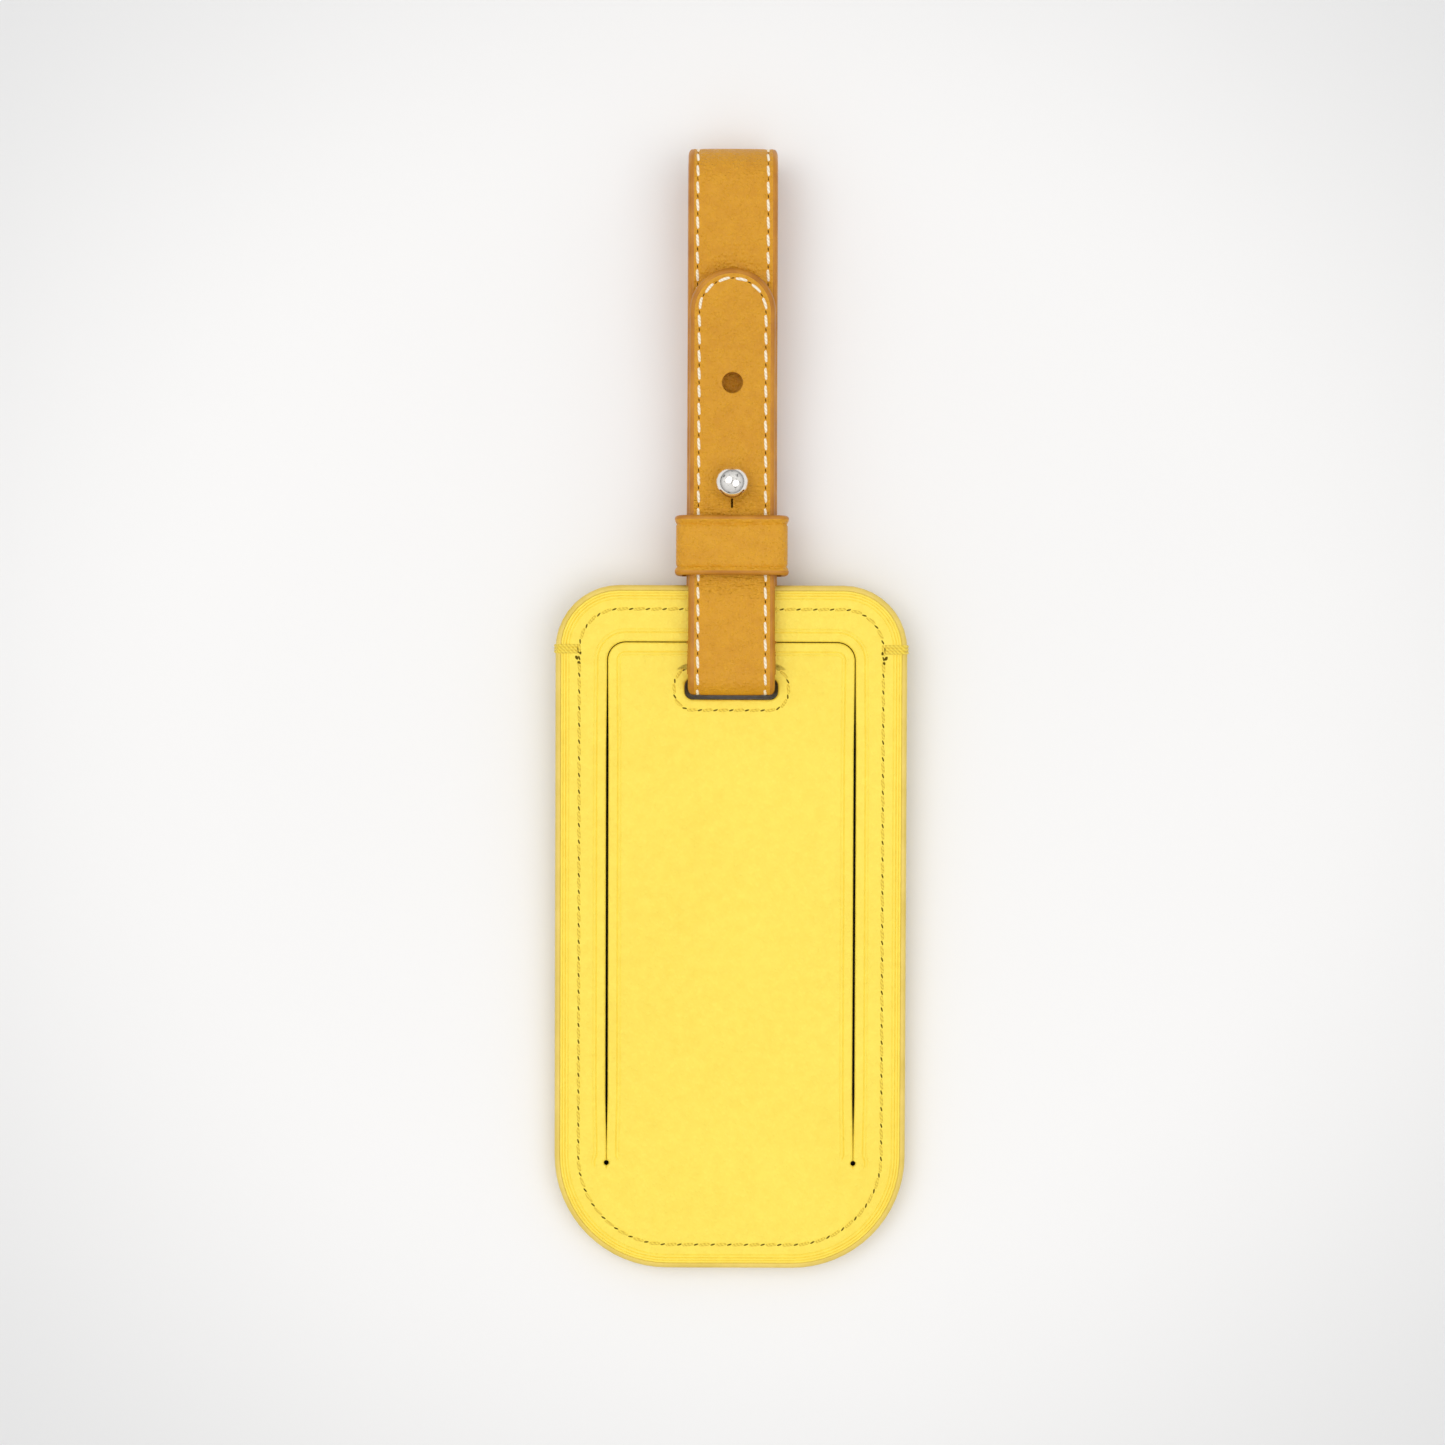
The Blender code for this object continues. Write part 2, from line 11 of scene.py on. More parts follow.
import bmesh
import bpy
import numpy as np
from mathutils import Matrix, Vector
from mathutils.geometry import tessellate_polygon


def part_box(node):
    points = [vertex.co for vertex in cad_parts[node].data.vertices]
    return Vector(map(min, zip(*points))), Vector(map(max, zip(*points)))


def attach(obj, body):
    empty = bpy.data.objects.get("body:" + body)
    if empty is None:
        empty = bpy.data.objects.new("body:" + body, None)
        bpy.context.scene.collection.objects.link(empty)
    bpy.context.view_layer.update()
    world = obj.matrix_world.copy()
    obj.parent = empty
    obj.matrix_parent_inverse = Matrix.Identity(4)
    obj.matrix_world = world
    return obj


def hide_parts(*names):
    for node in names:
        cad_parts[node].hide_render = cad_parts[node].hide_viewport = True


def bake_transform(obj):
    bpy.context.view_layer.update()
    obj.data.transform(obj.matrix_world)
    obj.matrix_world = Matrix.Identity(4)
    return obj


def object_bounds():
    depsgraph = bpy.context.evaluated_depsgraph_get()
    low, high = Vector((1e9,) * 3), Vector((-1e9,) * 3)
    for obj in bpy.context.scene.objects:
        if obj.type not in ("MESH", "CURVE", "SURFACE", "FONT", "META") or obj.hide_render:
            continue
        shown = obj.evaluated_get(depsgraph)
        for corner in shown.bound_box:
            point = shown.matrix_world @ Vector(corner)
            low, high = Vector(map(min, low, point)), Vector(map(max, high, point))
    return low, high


MM = 0.001

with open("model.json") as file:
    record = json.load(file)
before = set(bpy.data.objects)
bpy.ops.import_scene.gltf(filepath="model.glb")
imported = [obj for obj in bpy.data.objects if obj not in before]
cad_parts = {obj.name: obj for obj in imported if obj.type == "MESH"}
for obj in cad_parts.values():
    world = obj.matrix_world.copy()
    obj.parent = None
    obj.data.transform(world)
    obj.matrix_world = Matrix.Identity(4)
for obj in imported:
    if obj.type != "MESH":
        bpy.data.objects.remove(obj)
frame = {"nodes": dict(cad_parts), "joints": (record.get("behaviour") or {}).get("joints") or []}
CAD_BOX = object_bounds()
JOINTS = {joint["name"]: joint for joint in frame["joints"]}


def low(node):
    return np.array(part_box(node)[0])


def high(node):
    return np.array(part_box(node)[1])


# ---------------------------------------------------------------- sizes

# Tag: w of each panel's two faces, its outline, and how far in its seam and its painted edge lie.
SLIDE = JOINTS["card_slide"]["axis"]
TILT = math.atan2(SLIDE[2], SLIDE[1])
BACK = (0.0 * MM, 1.1 * MM)
FRONT = (3.1 * MM, 4.2 * MM)
FOOT_Y = low("back_panel")[1] + BACK[1] * math.sin(TILT)
HALF = high("back_panel")[0]
HEIGHT = (high("back_panel")[1] - FOOT_Y) / math.cos(TILT)
FOOT_R = 19.3 * MM
HEAD_R = 10.9 * MM
SEAM = 4.1 * MM
PAINT = 0.92 * MM

# Flap: its hinge line, the middle of the cut round it, and half the cut's width at the side and top.
HINGE_V = 18.1 * MM
FLAP_X = 21.1 * MM
FLAP_TOP = 107.2 * MM
FLAP_CORNER = 3.1 * MM
HOLE_R = 0.42 * MM
BUTT_V = HINGE_V - 1.5 * MM
SLIT_SIDE = 0.20 * MM
SLIT_TOP = 0.07 * MM

# Strap slot, and the height of the edge wraps at the pocket's mouth.
SLOT_HALF = 7.95 * MM
SLOT_V = (97.4 * MM, 101.1 * MM)
SLOT_R = 1.4 * MM
SLOT_SEAM = 1.8 * MM
MOUTH_V = 106.0 * MM

# Strap: its half thickness, its route from the stud end to the tip, and its holes.
STRAP_T = 1.2 * MM
STRAP_HALF = high("strap_face")[0]
TIP_HALF = high("tip_face")[0]
STRAP_SEAM = 1.65 * MM
STUD_END_Y = low("strap_face")[1]
STUD_END_Z = 6.5 * MM
BEND_Y = 46.0 * MM
FOLD_R = 5.4 * MM
FOLD_Y = high("strap_face")[1] - FOLD_R - STRAP_T
BACK_Z = low("strap_face")[2] + STRAP_T
TURN_R = 2.0 * MM
TURN_Y = low("turn_face")[1] + STRAP_T + TURN_R
LEG_Z = high("front_leg_face")[2] - STRAP_T
TIP_HINGE_Y = JOINTS["tip_lift"]["pos_m"][1]
TIP_END_Y = high("tip_face")[1]
SPARE_Y = TIP_END_Y - 19.1 * MM
HOLE_IN_STRAP = 1.78 * MM
NECK_HOLE = 1.75 * MM
BUTTON_SLIT = (0.34 * MM, 2.8 * MM, 6.0 * MM)

# Stud and keeper. The strap's front leg and its tip meet inside the keeper.
STUD = (low("stud") + high("stud")) / 2
BALL_R = 2.85 * MM
BALL_Z = high("stud")[2] - BALL_R
KEEPER_LOW, KEEPER_HIGH = low("keeper_band"), high("keeper_band")
SPLIT_Y = (KEEPER_LOW[1] + KEEPER_HIGH[1]) / 2

# ---------------------------------------------------------------- materials

# Places of the colour sockets in a Mix node's lists.
MIX_FACTOR, MIX_FIRST, MIX_SECOND, MIX_COLOUR = 0, 6, 7, 2


class Skin:
    """A node material, with short calls for the nodes that it is made of."""

    def __init__(self, name, **uniform):
        self.material = bpy.data.materials.new(name)
        self.material.use_nodes = True
        self.tree = self.material.node_tree
        self.shader = self.tree.nodes["Principled BSDF"]
        for socket, value in uniform.items():
            self.shader.inputs[socket.replace("_", " ")].default_value = value
        self.place = self.node("ShaderNodeTexCoord").outputs["Object"]

    def feed(self, socket, value):
        """Links a socket to another, or sets its value."""
        if isinstance(value, bpy.types.NodeSocket):
            self.tree.links.new(value, socket)
        else:
            socket.default_value = value

    def node(self, kind, settings=None, **inputs):
        made = self.tree.nodes.new(kind)
        for key, value in (settings or {}).items():
            setattr(made, key, value)
        for key, value in inputs.items():
            self.feed(made.inputs[key.replace("_", " ")], value)
        return made

    def link(self, source, socket):
        self.tree.links.new(source, self.shader.inputs[socket])

    def noise(self, scale, detail=3.0, rough=0.55, place=None):
        made = self.node(
            "ShaderNodeTexNoise",
            Vector=place or self.place,
            Scale=scale,
            Detail=detail,
            Roughness=rough,
        )
        return made.outputs["Fac"]

    def cells(self, scale):
        made = self.node(
            "ShaderNodeTexVoronoi",
            {"feature": "SMOOTH_F1"},
            Vector=self.place,
            Scale=scale,
        )
        return made.outputs["Distance"]

    def bands(self, direction, distortion):
        made = self.node(
            "ShaderNodeTexWave",
            {"wave_type": "BANDS", "bands_direction": direction},
            Vector=self.place,
            Scale=900.0,
            Distortion=distortion,
        )
        return made.outputs["Fac"]

    def remap(self, value, low_in, high_in, low_out=0.0, high_out=1.0, smooth=False):
        made = self.node(
            "ShaderNodeMapRange",
            {"interpolation_type": "SMOOTHSTEP" if smooth else "LINEAR"},
            Value=value,
            From_Min=low_in,
            From_Max=high_in,
            To_Min=low_out,
            To_Max=high_out,
        )
        return made.outputs["Result"]

    def math(self, operation, a, b=0.0):
        made = self.node("ShaderNodeMath", {"operation": operation})
        self.feed(made.inputs[0], a)
        self.feed(made.inputs[1], b)
        return made.outputs[0]

    def blend(self, factor, first, second):
        made = self.node("ShaderNodeMix", {"data_type": "RGBA"})
        self.feed(made.inputs[MIX_FACTOR], factor)
        self.feed(made.inputs[MIX_FIRST], first)
        self.feed(made.inputs[MIX_SECOND], second)
        return made.outputs[MIX_COLOUR]

    def axis(self, which):
        split = self.node("ShaderNodeSeparateXYZ", Vector=self.place)
        return split.outputs[which]

    def bump(self, height, depth, strength=1.0, under=None):
        made = self.node("ShaderNodeBump", Height=height, Distance=depth, Strength=strength)
        if under is not None:
            self.tree.links.new(under, made.inputs["Normal"])
        return made.outputs["Normal"]


def rgb(text):
    """Linear colour from an sRGB hex string."""
    parts = [int(text[k : k + 2], 16) / 255 for k in (0, 2, 4)]
    linear = [c / 12.92 if c <= 0.04045 else ((c + 0.055) / 1.055) ** 2.4 for c in parts]
    return (*linear, 1.0)


def leather(name, dark, light, pebble, pebble_depth, roughness, pit_shade, wrinkles=()):
    """Finished leather: clouded colour, pebbled grain with fine pores, and a satin top coat.

    pebble is the grain's scale, and the argument after roughness is how much painted shade darkens the
    grain's pits, beyond what the bump shows.
    wrinkles are pairs of y between which the leather is creased across.
    """
    skin = Skin(name, IOR=1.45)
    clouds = skin.remap(skin.noise(45.0, 4.0), 0.32, 0.68)
    mottle = skin.remap(skin.noise(520.0, 3.0), 0.3, 0.7)
    shade = skin.math("ADD", skin.math("MULTIPLY", clouds, 0.3), skin.math("MULTIPLY", mottle, 0.5))
    grain = skin.cells(pebble)
    pits = skin.remap(grain, 0.0, 0.55, 0.0, 1.0, smooth=True)
    # Painted shade: the pits of the grain are darkened in colour.
    tone = skin.math("SUBTRACT", shade, skin.math("MULTIPLY", pits, pit_shade))
    skin.link(skin.blend(skin.remap(tone, -0.3, 0.8), dark, light), "Base Color")
    gloss = skin.remap(skin.noise(900.0, 2.0), 0.3, 0.7, roughness - 0.05, roughness + 0.07)
    skin.link(gloss, "Roughness")
    fine = skin.noise(pebble * 3.1, 3.0, 0.6)
    height = skin.math("ADD", skin.math("MULTIPLY", pits, -0.7), skin.math("MULTIPLY", fine, 0.6))
    normal = skin.bump(height, pebble_depth, 0.7)
    for start, end in wrinkles:
        across = skin.node("ShaderNodeMapping", Vector=skin.place, Scale=(260.0, 1900.0, 260.0))
        creases = skin.noise(1.0, 3.0, 0.6, across.outputs[0])
        y = skin.axis("Y")
        fade = 1.6 * MM
        rise = skin.remap(y, start - fade, start + fade, 0.0, 1.0, smooth=True)
        fall = skin.remap(y, end - fade, end + fade, 1.0, 0.0, smooth=True)
        masked = skin.math("MULTIPLY", creases, skin.math("MULTIPLY", rise, fall))
        normal = skin.bump(masked, 0.5 * MM, 1.0, under=normal)
    skin.link(normal, "Normal")
    return skin.material


def paint(name, dark, light, roughness):
    """Edge paint: a smooth rubbery coat with slow waves and a few darker worn places."""
    skin = Skin(name, IOR=1.45)
    worn = skin.remap(skin.noise(160.0, 5.0, 0.6), 0.35, 0.65)
    skin.link(skin.blend(worn, dark, light), "Base Color")
    skin.link(skin.remap(skin.noise(700.0), 0.3, 0.7, roughness - 0.06, roughness + 0.08), "Roughness")
    skin.link(skin.bump(skin.noise(420.0, 3.0), 0.12 * MM, 0.5), "Normal")
    return skin.material


def thread_skin(name, dark, light):
    """Waxed thread: twisted plies across the run and a dull finish."""
    skin = Skin(name, Roughness=0.62, IOR=1.45)
    skin.shader.inputs["Sheen Weight"].default_value = 0.15
    twist = skin.bands("DIAGONAL", 1.5)
    fuzz = skin.noise(4200.0, 3.0)
    tone = skin.math("ADD", skin.math("MULTIPLY", twist, 0.5), skin.math("MULTIPLY", fuzz, 0.5))
    skin.link(skin.blend(skin.remap(tone, 0.15, 0.75), dark, light), "Base Color")
    skin.link(skin.bump(tone, 0.06 * MM, 0.8), "Normal")
    return skin.material


def recess_shade_skin(name, colour):
    """Painted shade: the dark of a needle hole or of a cut's wall, where little light reaches."""
    skin = Skin(name, Roughness=0.9)
    skin.shader.inputs["Specular IOR Level"].default_value = 0.1
    deep = skin.remap(skin.noise(2600.0, 2.0), 0.3, 0.7)
    skin.link(skin.blend(deep, colour, tuple(c * 0.6 for c in colour[:3]) + (1.0,)), "Base Color")
    return skin.material


def steel_skin():
    """Polished steel with faint handling marks."""
    skin = Skin("steel_polished", Metallic=1.0)
    cloud = skin.remap(skin.noise(600.0, 3.0), 0.3, 0.7)
    skin.link(skin.blend(cloud, rgb("E2DFDA"), rgb("F6F3EE")), "Base Color")
    skin.link(skin.remap(skin.noise(2400.0, 4.0), 0.3, 0.7, 0.07, 0.16), "Roughness")
    skin.link(skin.bump(skin.noise(1400.0, 2.0), 0.01 * MM, 0.5), "Normal")
    return skin.material


def fibre_skin(name, dark, light, scale, roughness, depth):
    """Paper, board or felted cloth: short fibres in one colour family."""
    skin = Skin(name)
    fibres = skin.noise(scale, 5.0, 0.65)
    skin.link(skin.blend(skin.remap(fibres, 0.32, 0.68), dark, light), "Base Color")
    skin.link(skin.remap(skin.noise(scale / 3), 0.3, 0.7, roughness - 0.06, roughness + 0.06), "Roughness")
    skin.link(skin.bump(fibres, depth, 0.7), "Normal")
    return skin.material


def woven_skin(name, dark, light):
    """Thin lining cloth in plain weave."""
    skin = Skin(name)
    weave = skin.math("MULTIPLY", skin.bands("X", 0.4), skin.bands("Y", 0.4))
    skin.link(skin.blend(skin.remap(weave, 0.0, 0.8), dark, light), "Base Color")
    skin.link(skin.remap(skin.noise(600.0), 0.3, 0.7, 0.75, 0.9), "Roughness")
    skin.link(skin.bump(weave, 0.05 * MM, 0.7), "Normal")
    return skin.material


def film_skin():
    """Clear pocket sheet with a faint haze. Down each side, under the slits, it turns into an opaque dark
    band: painted shade that keeps the slits dark.
    """
    skin = Skin("clear_film", IOR=1.45)
    across = skin.math("ABSOLUTE", skin.axis("X"))
    # Painted shade: an opaque near-black band under each slit.
    slit_shade_band = skin.remap(across, FLAP_X - 1.0 * MM, FLAP_X - 0.8 * MM)
    haze = skin.blend(skin.noise(90.0), rgb("DDE2E4"), rgb("F2F4F5"))
    skin.link(skin.remap(slit_shade_band, 0.0, 1.0, 0.3, 1.0), "Alpha")
    skin.link(skin.remap(slit_shade_band, 0.0, 1.0, 0.5, 0.06), "Specular IOR Level")
    skin.link(skin.remap(skin.noise(220.0, 3.0), 0.3, 0.7, 0.08, 0.2), "Roughness")
    skin.link(skin.blend(slit_shade_band, haze, rgb("1C1408")), "Base Color")
    return skin.material


WRINKLED = (
    (TIP_HINGE_Y - 1 * MM, TIP_HINGE_Y + 3.5 * MM),
    (KEEPER_LOW[1] - 3.5 * MM, KEEPER_LOW[1] + 1 * MM),
)
YELLOW = leather("leather_yellow", rgb("F8DA4C"), rgb("FFE85A"), 1500.0, 0.14 * MM, 0.5, 0.3)
YELLOW_PAINT = paint("paint_yellow", rgb("E0C254"), rgb("EDD068"), 0.45)
TAN = leather("leather_tan", rgb("D49112"), rgb("E6A61C"), 1900.0, 0.34 * MM, 0.42, 0.35, WRINKLED)
TAN_PAINT = paint("paint_tan", rgb("B06E18"), rgb("CC8A22"), 0.4)
YELLOW_THREAD = thread_skin("thread_yellow", rgb("D9B732"), rgb("F6DA4C"))
CREAM_THREAD = thread_skin("thread_cream", rgb("E4D2AE"), rgb("FFF4DC"))
# Painted shade: needle holes in dark colours that stand for the shadow inside them.
YELLOW_HOLE_SHADE = recess_shade_skin("needle_hole_yellow", rgb("6E5A10"))
TAN_HOLE_SHADE = recess_shade_skin("needle_hole_tan", rgb("4A2A0C"))
# Painted shade: the walls of the cut round the flap and of the strap slot in near black.
SLIT_WALL_SHADE = recess_shade_skin("cut_edge", rgb("221D06"))
STEEL = steel_skin()
# A dark board, darkened further in colour as painted shade for the inside of the slot.
BOARD = fibre_skin("board_grey", rgb("14120F"), rgb("24211D"), 1300.0, 0.88, 0.05 * MM)
PAPER = fibre_skin("paper_card", rgb("DDDAD0"), rgb("EFEDE5"), 1900.0, 0.8, 0.02 * MM)
CLOTH = woven_skin("cloth_lining", rgb("B79B52"), rgb("D9C27C"))
FILM = film_skin()

# ---------------------------------------------------------------- shapes


def arc(centre, radius, start, end, steps):
    """Points of an arc after its first, from and to angles in degrees."""
    turns = np.radians(np.linspace(start, end, steps + 1)[1:])
    return np.stack([centre[0] + radius * np.cos(turns), centre[1] + radius * np.sin(turns)], 1)


def line(start, end, steps):
    """Points of a line after its first."""
    share = np.linspace(0, 1, steps + 1)[1:, None]
    return np.array(start) + (np.array(end) - np.array(start)) * share


def distances(points):
    """How far along a path each of its points is."""
    steps = np.linalg.norm(np.diff(points, axis=0), axis=1)
    return np.concatenate([[0.0], np.cumsum(steps)])


def read(values, along, s):
    """Rows of values between those given at distances along, at distance s."""
    return np.stack([np.interp(s, along, column) for column in values.T], -1)


def smooth(value, start, end):
    """0 before start and 1 after end, with a soft step between."""
    t = np.clip((value - start) / (end - start), 0, 1)
    return t * t * (3 - 2 * t)


SHARP_ANGLE = 38.0


def placed(name, data, place=(0, 0, 0)):
    """A new object in the scene."""
    obj = bpy.data.objects.new(name, data)
    obj.location = place
    bpy.context.scene.collection.objects.link(obj)
    return obj


def finished(name, verts, faces, skins, tags, sharp=SHARP_ANGLE):
    """A mesh object with its faces out, smooth but for its sharp edges."""
    mesh = bpy.data.meshes.new(name)
    mesh.from_pydata(np.asarray(verts).tolist(), [], faces)
    for skin in skins:
        mesh.materials.append(skin)
    mesh.polygons.foreach_set("material_index", tags)
    shape = bmesh.new()
    shape.from_mesh(mesh)
    bmesh.ops.recalc_face_normals(shape, faces=shape.faces)
    shape.to_mesh(mesh)
    shape.free()
    mesh.shade_smooth()
    mesh.set_sharp_from_angle(angle=math.radians(sharp))
    return placed(name, mesh)


def quads(a, b, count):
    """Faces between two rings whose first points are a and b."""
    faces = []
    for i in range(count):
        j = (i + 1) % count
        faces.append((a + i, a + j, b + j, b + i))
    return faces


def one_face(start, count):
    """A single face that closes a ring."""
    return [tuple(range(start, start + count))]


def loft(name, rings, skins, tag=None, cap=None, sharp=SHARP_ANGLE):
    """A body from rings of equal counts. The last ring joins the first, or cap closes both ends."""
    tag = tag or (lambda k, i: 0)
    count = len(rings[0])
    last = len(rings) - 1
    faces, tags = [], []
    for k in range(last if cap else last + 1):
        faces += quads(k * count, (k + 1) % len(rings) * count, count)
        tags += [tag(k, i) for i in range(count)]
    if cap:
        ends = cap(0, count) + cap(last * count, count)
        faces += ends
        tags += [tag(0, 0)] * len(ends)
    return finished(name, np.concatenate(rings), faces, skins, tags, sharp)


def plate(name, groups, skins, tag):
    """A flat piece from groups of rings. Each group is lofted, and the flats between are filled."""
    count = len(groups[0][0])
    verts = np.concatenate([ring for group in groups for ring in group])
    faces, tags, base, borders = [], [], 0, []
    for g, group in enumerate(groups):
        for k in range(len(group) - 1):
            faces += quads(base + k * count, base + (k + 1) * count, count)
            tags += [tag(g, k)] * count
        borders.append((base, base + (len(group) - 1) * count))
        base += len(group) * count
    for (_, first), (second, _) in zip(borders, borders[1:] + borders[:1]):
        outlines = [verts[start : start + count] / MM for start in (first, second)]
        flat = [[Vector((x, y, 0.0)) for x, y, z in outline] for outline in outlines]
        numbers = list(range(first, first + count)) + list(range(second, second + count))
        for face in tessellate_polygon(flat):
            faces.append(tuple(numbers[i] for i in face))
            tags.append(0)
    return finished(name, verts, faces, skins, tags)


def leant(points, heights):
    """Tag points (x, v) at their heights, in the world frame."""
    v = points[:, 1]
    w = np.broadcast_to(heights, v.shape)
    y = FOOT_Y + v * math.cos(TILT) - w * math.sin(TILT)
    z = v * math.sin(TILT) + w * math.cos(TILT)
    return np.stack([points[:, 0], y, z], 1)


def done(obj, body, slot, *nodes):
    """Puts a finished piece on its body, or bakes its place into its mesh when body is not a name, and
    hides the CAD nodes that it stands for. slot is not used.
    """
    if isinstance(body, str):
        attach(obj, body)
    else:
        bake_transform(obj)
    if nodes:
        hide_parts(*nodes)


# ---------------------------------------------------------------- tag outlines

# Every outline has the same counts of points, so that their rings can be joined.
FOOT_STEPS, LOW_STEPS, SIDE_STEPS, HEAD_STEPS, TOP_STEPS = 20, 16, 56, 10, 20
HOLE_PITCH = 0.17 * MM
CLOSED_SLIT = 0.02 * MM
SHARPEST_CORNER = 0.25 * MM


def side_shares(steps):
    """Shares of a side, closer together near the foot."""
    return (np.arange(1, steps + 1) / steps) ** 1.5


def mirrored(*parts):
    """A closed outline from its right half, which runs from the foot's middle to the head's."""
    right = np.concatenate(parts)
    left = right[1:-1][::-1] * (-1, 1)
    return np.concatenate([right, left])


def round_ring(half, bottom, top, foot_r, head_r, out):
    """A box with round corners, moved out."""
    foot_x, head_x = half - foot_r, half - head_r
    side_low, side_high = bottom + foot_r, top - head_r
    rise = side_shares(SIDE_STEPS)[:, None] * (0, side_high - side_low)
    return mirrored(
        [(0.0, bottom - out)],
        line((0.0, bottom - out), (foot_x, bottom - out), FOOT_STEPS),
        arc((foot_x, side_low), foot_r + out, -90, 0, LOW_STEPS),
        np.array((half + out, side_low)) + rise,
        arc((head_x, side_high), head_r + out, 0, 90, HEAD_STEPS),
        line((head_x, top + out), (0.0, top + out), TOP_STEPS),
    )


def outer_ring(inset):
    """The tag's outline, moved in."""
    return round_ring(HALF, 0.0, HEIGHT, FOOT_R, HEAD_R, -inset)


def slot_ring(margin):
    """The strap slot's outline, moved out."""
    return round_ring(SLOT_HALF, *SLOT_V, SLOT_R, SLOT_R, margin)


def slit_half(v):
    """Half the width of the cut, which closes towards the relief hole and narrows at the top."""
    opening = smooth(v, HINGE_V + 1.2 * MM, HINGE_V + 13 * MM)
    narrowing = smooth(v, FLAP_TOP - 20 * MM, FLAP_TOP - FLAP_CORNER)
    opened = CLOSED_SLIT + (SLIT_SIDE - CLOSED_SLIT) * opening
    return opened - (SLIT_SIDE - SLIT_TOP) * narrowing


def cut_ring(offset, side):
    """The cut round the flap, moved into the frame (side 1) or into the flap (side -1)."""
    out = side * (SLIT_TOP + offset)
    edge_x, edge_v = FLAP_X + out, FLAP_TOP + out
    corner = max(FLAP_CORNER + out, SHARPEST_CORNER)
    head_x, bend_v = edge_x - corner, edge_v - corner
    foot_v = BUTT_V - side * offset
    radius = HOLE_R + offset
    open_low = slit_half(HINGE_V) + offset
    start = HINGE_V - math.sqrt(max(radius**2 - offset**2, 0.0))
    rows = [(offset, foot_v)]
    turn_start = -math.acos(min(offset / radius, 1.0))
    if start < foot_v:
        turn_start = math.asin(min((foot_v - HINGE_V) / radius, 1.0))
    turn_end = math.acos(min(open_low / radius, 1.0))
    if turn_start < turn_end:
        if start < foot_v:
            rows = [(radius * math.cos(turn_start), foot_v)]
        for turn in np.linspace(turn_start, turn_end, 24):
            rows.append((radius * math.cos(turn), HINGE_V + radius * math.sin(turn)))
    else:
        rows = [(open_low, foot_v)]
    for v in np.linspace(max(rows[-1][1], HINGE_V) + 0.05 * MM, bend_v, 120):
        rows.append((slit_half(v) + offset, v))
    rows = np.array(rows)
    rows[:, 0] = FLAP_X + side * rows[:, 0]
    near = HOLE_PITCH * np.arange(1, LOW_STEPS + 1)
    along = distances(rows)
    far = near[-1] + (along[-1] - near[-1]) * side_shares(SIDE_STEPS)
    return mirrored(
        [(0.0, foot_v)],
        line((0.0, foot_v), rows[0], FOOT_STEPS),
        read(rows, along, np.concatenate([near, far])),
        arc((head_x, bend_v), corner, 0, 90, HEAD_STEPS),
        line((head_x, edge_v), (0.0, edge_v), TOP_STEPS),
    )


# ---------------------------------------------------------------- tag leather

TOP_W = FRONT[1]

# Pairs in millimetres: a distance in or across, and the depth below the leather's face.
EDGE_CREASES = (
    (1.28, 0.0), (1.38, 0.13), (1.48, 0.0), (1.72, 0.0), (1.84, 0.15), (1.96, 0.0),
    (2.20, 0.0), (2.34, 0.11), (2.48, 0.0), (2.60, 0.0),
)
SEAM_GROOVE = (
    (-0.75, 0.0), (-0.55, 0.0), (-0.30, 0.05), (0.0, 0.09), (0.30, 0.05), (0.55, 0.0), (0.75, 0.0),
)
CUT_CREASES = (
    (0.55, 0.0), (1.45, 0.0), (1.60, 0.14), (1.75, 0.0), (1.98, 0.0), (2.12, 0.10),
    (2.26, 0.0), (2.40, 0.0),
)
ROLLED = ((0.0, 0.42), (0.05, 0.24), (0.15, 0.10), (0.30, 0.03), (0.45, 0.0))
RIM = ((0.02, 0.13), (0.07, 0.05), (0.15, 0.01), (0.26, 0.0))
FLAP_INSETS = (3.0, 3.8, 4.6)

# Half of the painted edge, from the leather's face to the middle: distance in, and depth.
EDGE_COAT = (
    (0.92, 0.09), (0.86, 0.03), (0.74, 0.01), (0.54, 0.04), (0.30, 0.15), (0.12, 0.36),
    (0.03, 0.66), (0.0, 1.0), (0.0, 1.75),
)
PLY_LINE = (0.05, 1.95)
COAT_INSIDE = ((0.92, 3.15), (0.74, 3.05), (0.74, 1.2), (0.92, 1.1))


def away_from_hinge(points):
    """1 over most of the cut, and 0 along the joint below the hinge."""
    steps = np.arange(len(points))
    steps = np.minimum(steps, len(points) - steps)
    clear = smooth(points[:, 1], HINGE_V - 1.2 * MM, HINGE_V - 0.4 * MM)
    return clear * smooth(steps, FOOT_STEPS, FOOT_STEPS + 4)


def cut_heights(points, depth):
    """Heights of a ring round the cut, which lies flat where the hinge joins the frame."""
    return TOP_W - depth * MM * away_from_hinge(points)


def rim_rings(inner, face, inward):
    """From the leather's inner side over its rim to the flat inside its sewing groove."""
    rings = [leant(outer_ring(PAINT + 0.02 * MM), inner)]
    for inset, depth in RIM:
        rings.append(leant(outer_ring(PAINT + inset * MM), face + inward * depth * MM))
    for inset, depth in EDGE_CREASES:
        rings.append(leant(outer_ring(inset * MM), face + inward * depth * MM))
    for shift, depth in SEAM_GROOVE:
        rings.append(leant(outer_ring(SEAM + shift * MM), face + inward * depth * MM))
    return rings


def slot_rings(inner, face, inward):
    """From the flat round the slot over its sewing groove and down its wall."""
    rings = []
    for shift, depth in reversed(SEAM_GROOVE):
        rings.append(leant(slot_ring(SLOT_SEAM + shift * MM), face + inward * depth * MM))
    for offset, depth in reversed(ROLLED):
        rings.append(leant(slot_ring(offset * MM), face + inward * depth * MM))
    rings.append(leant(slot_ring(0.0), inner))
    return rings


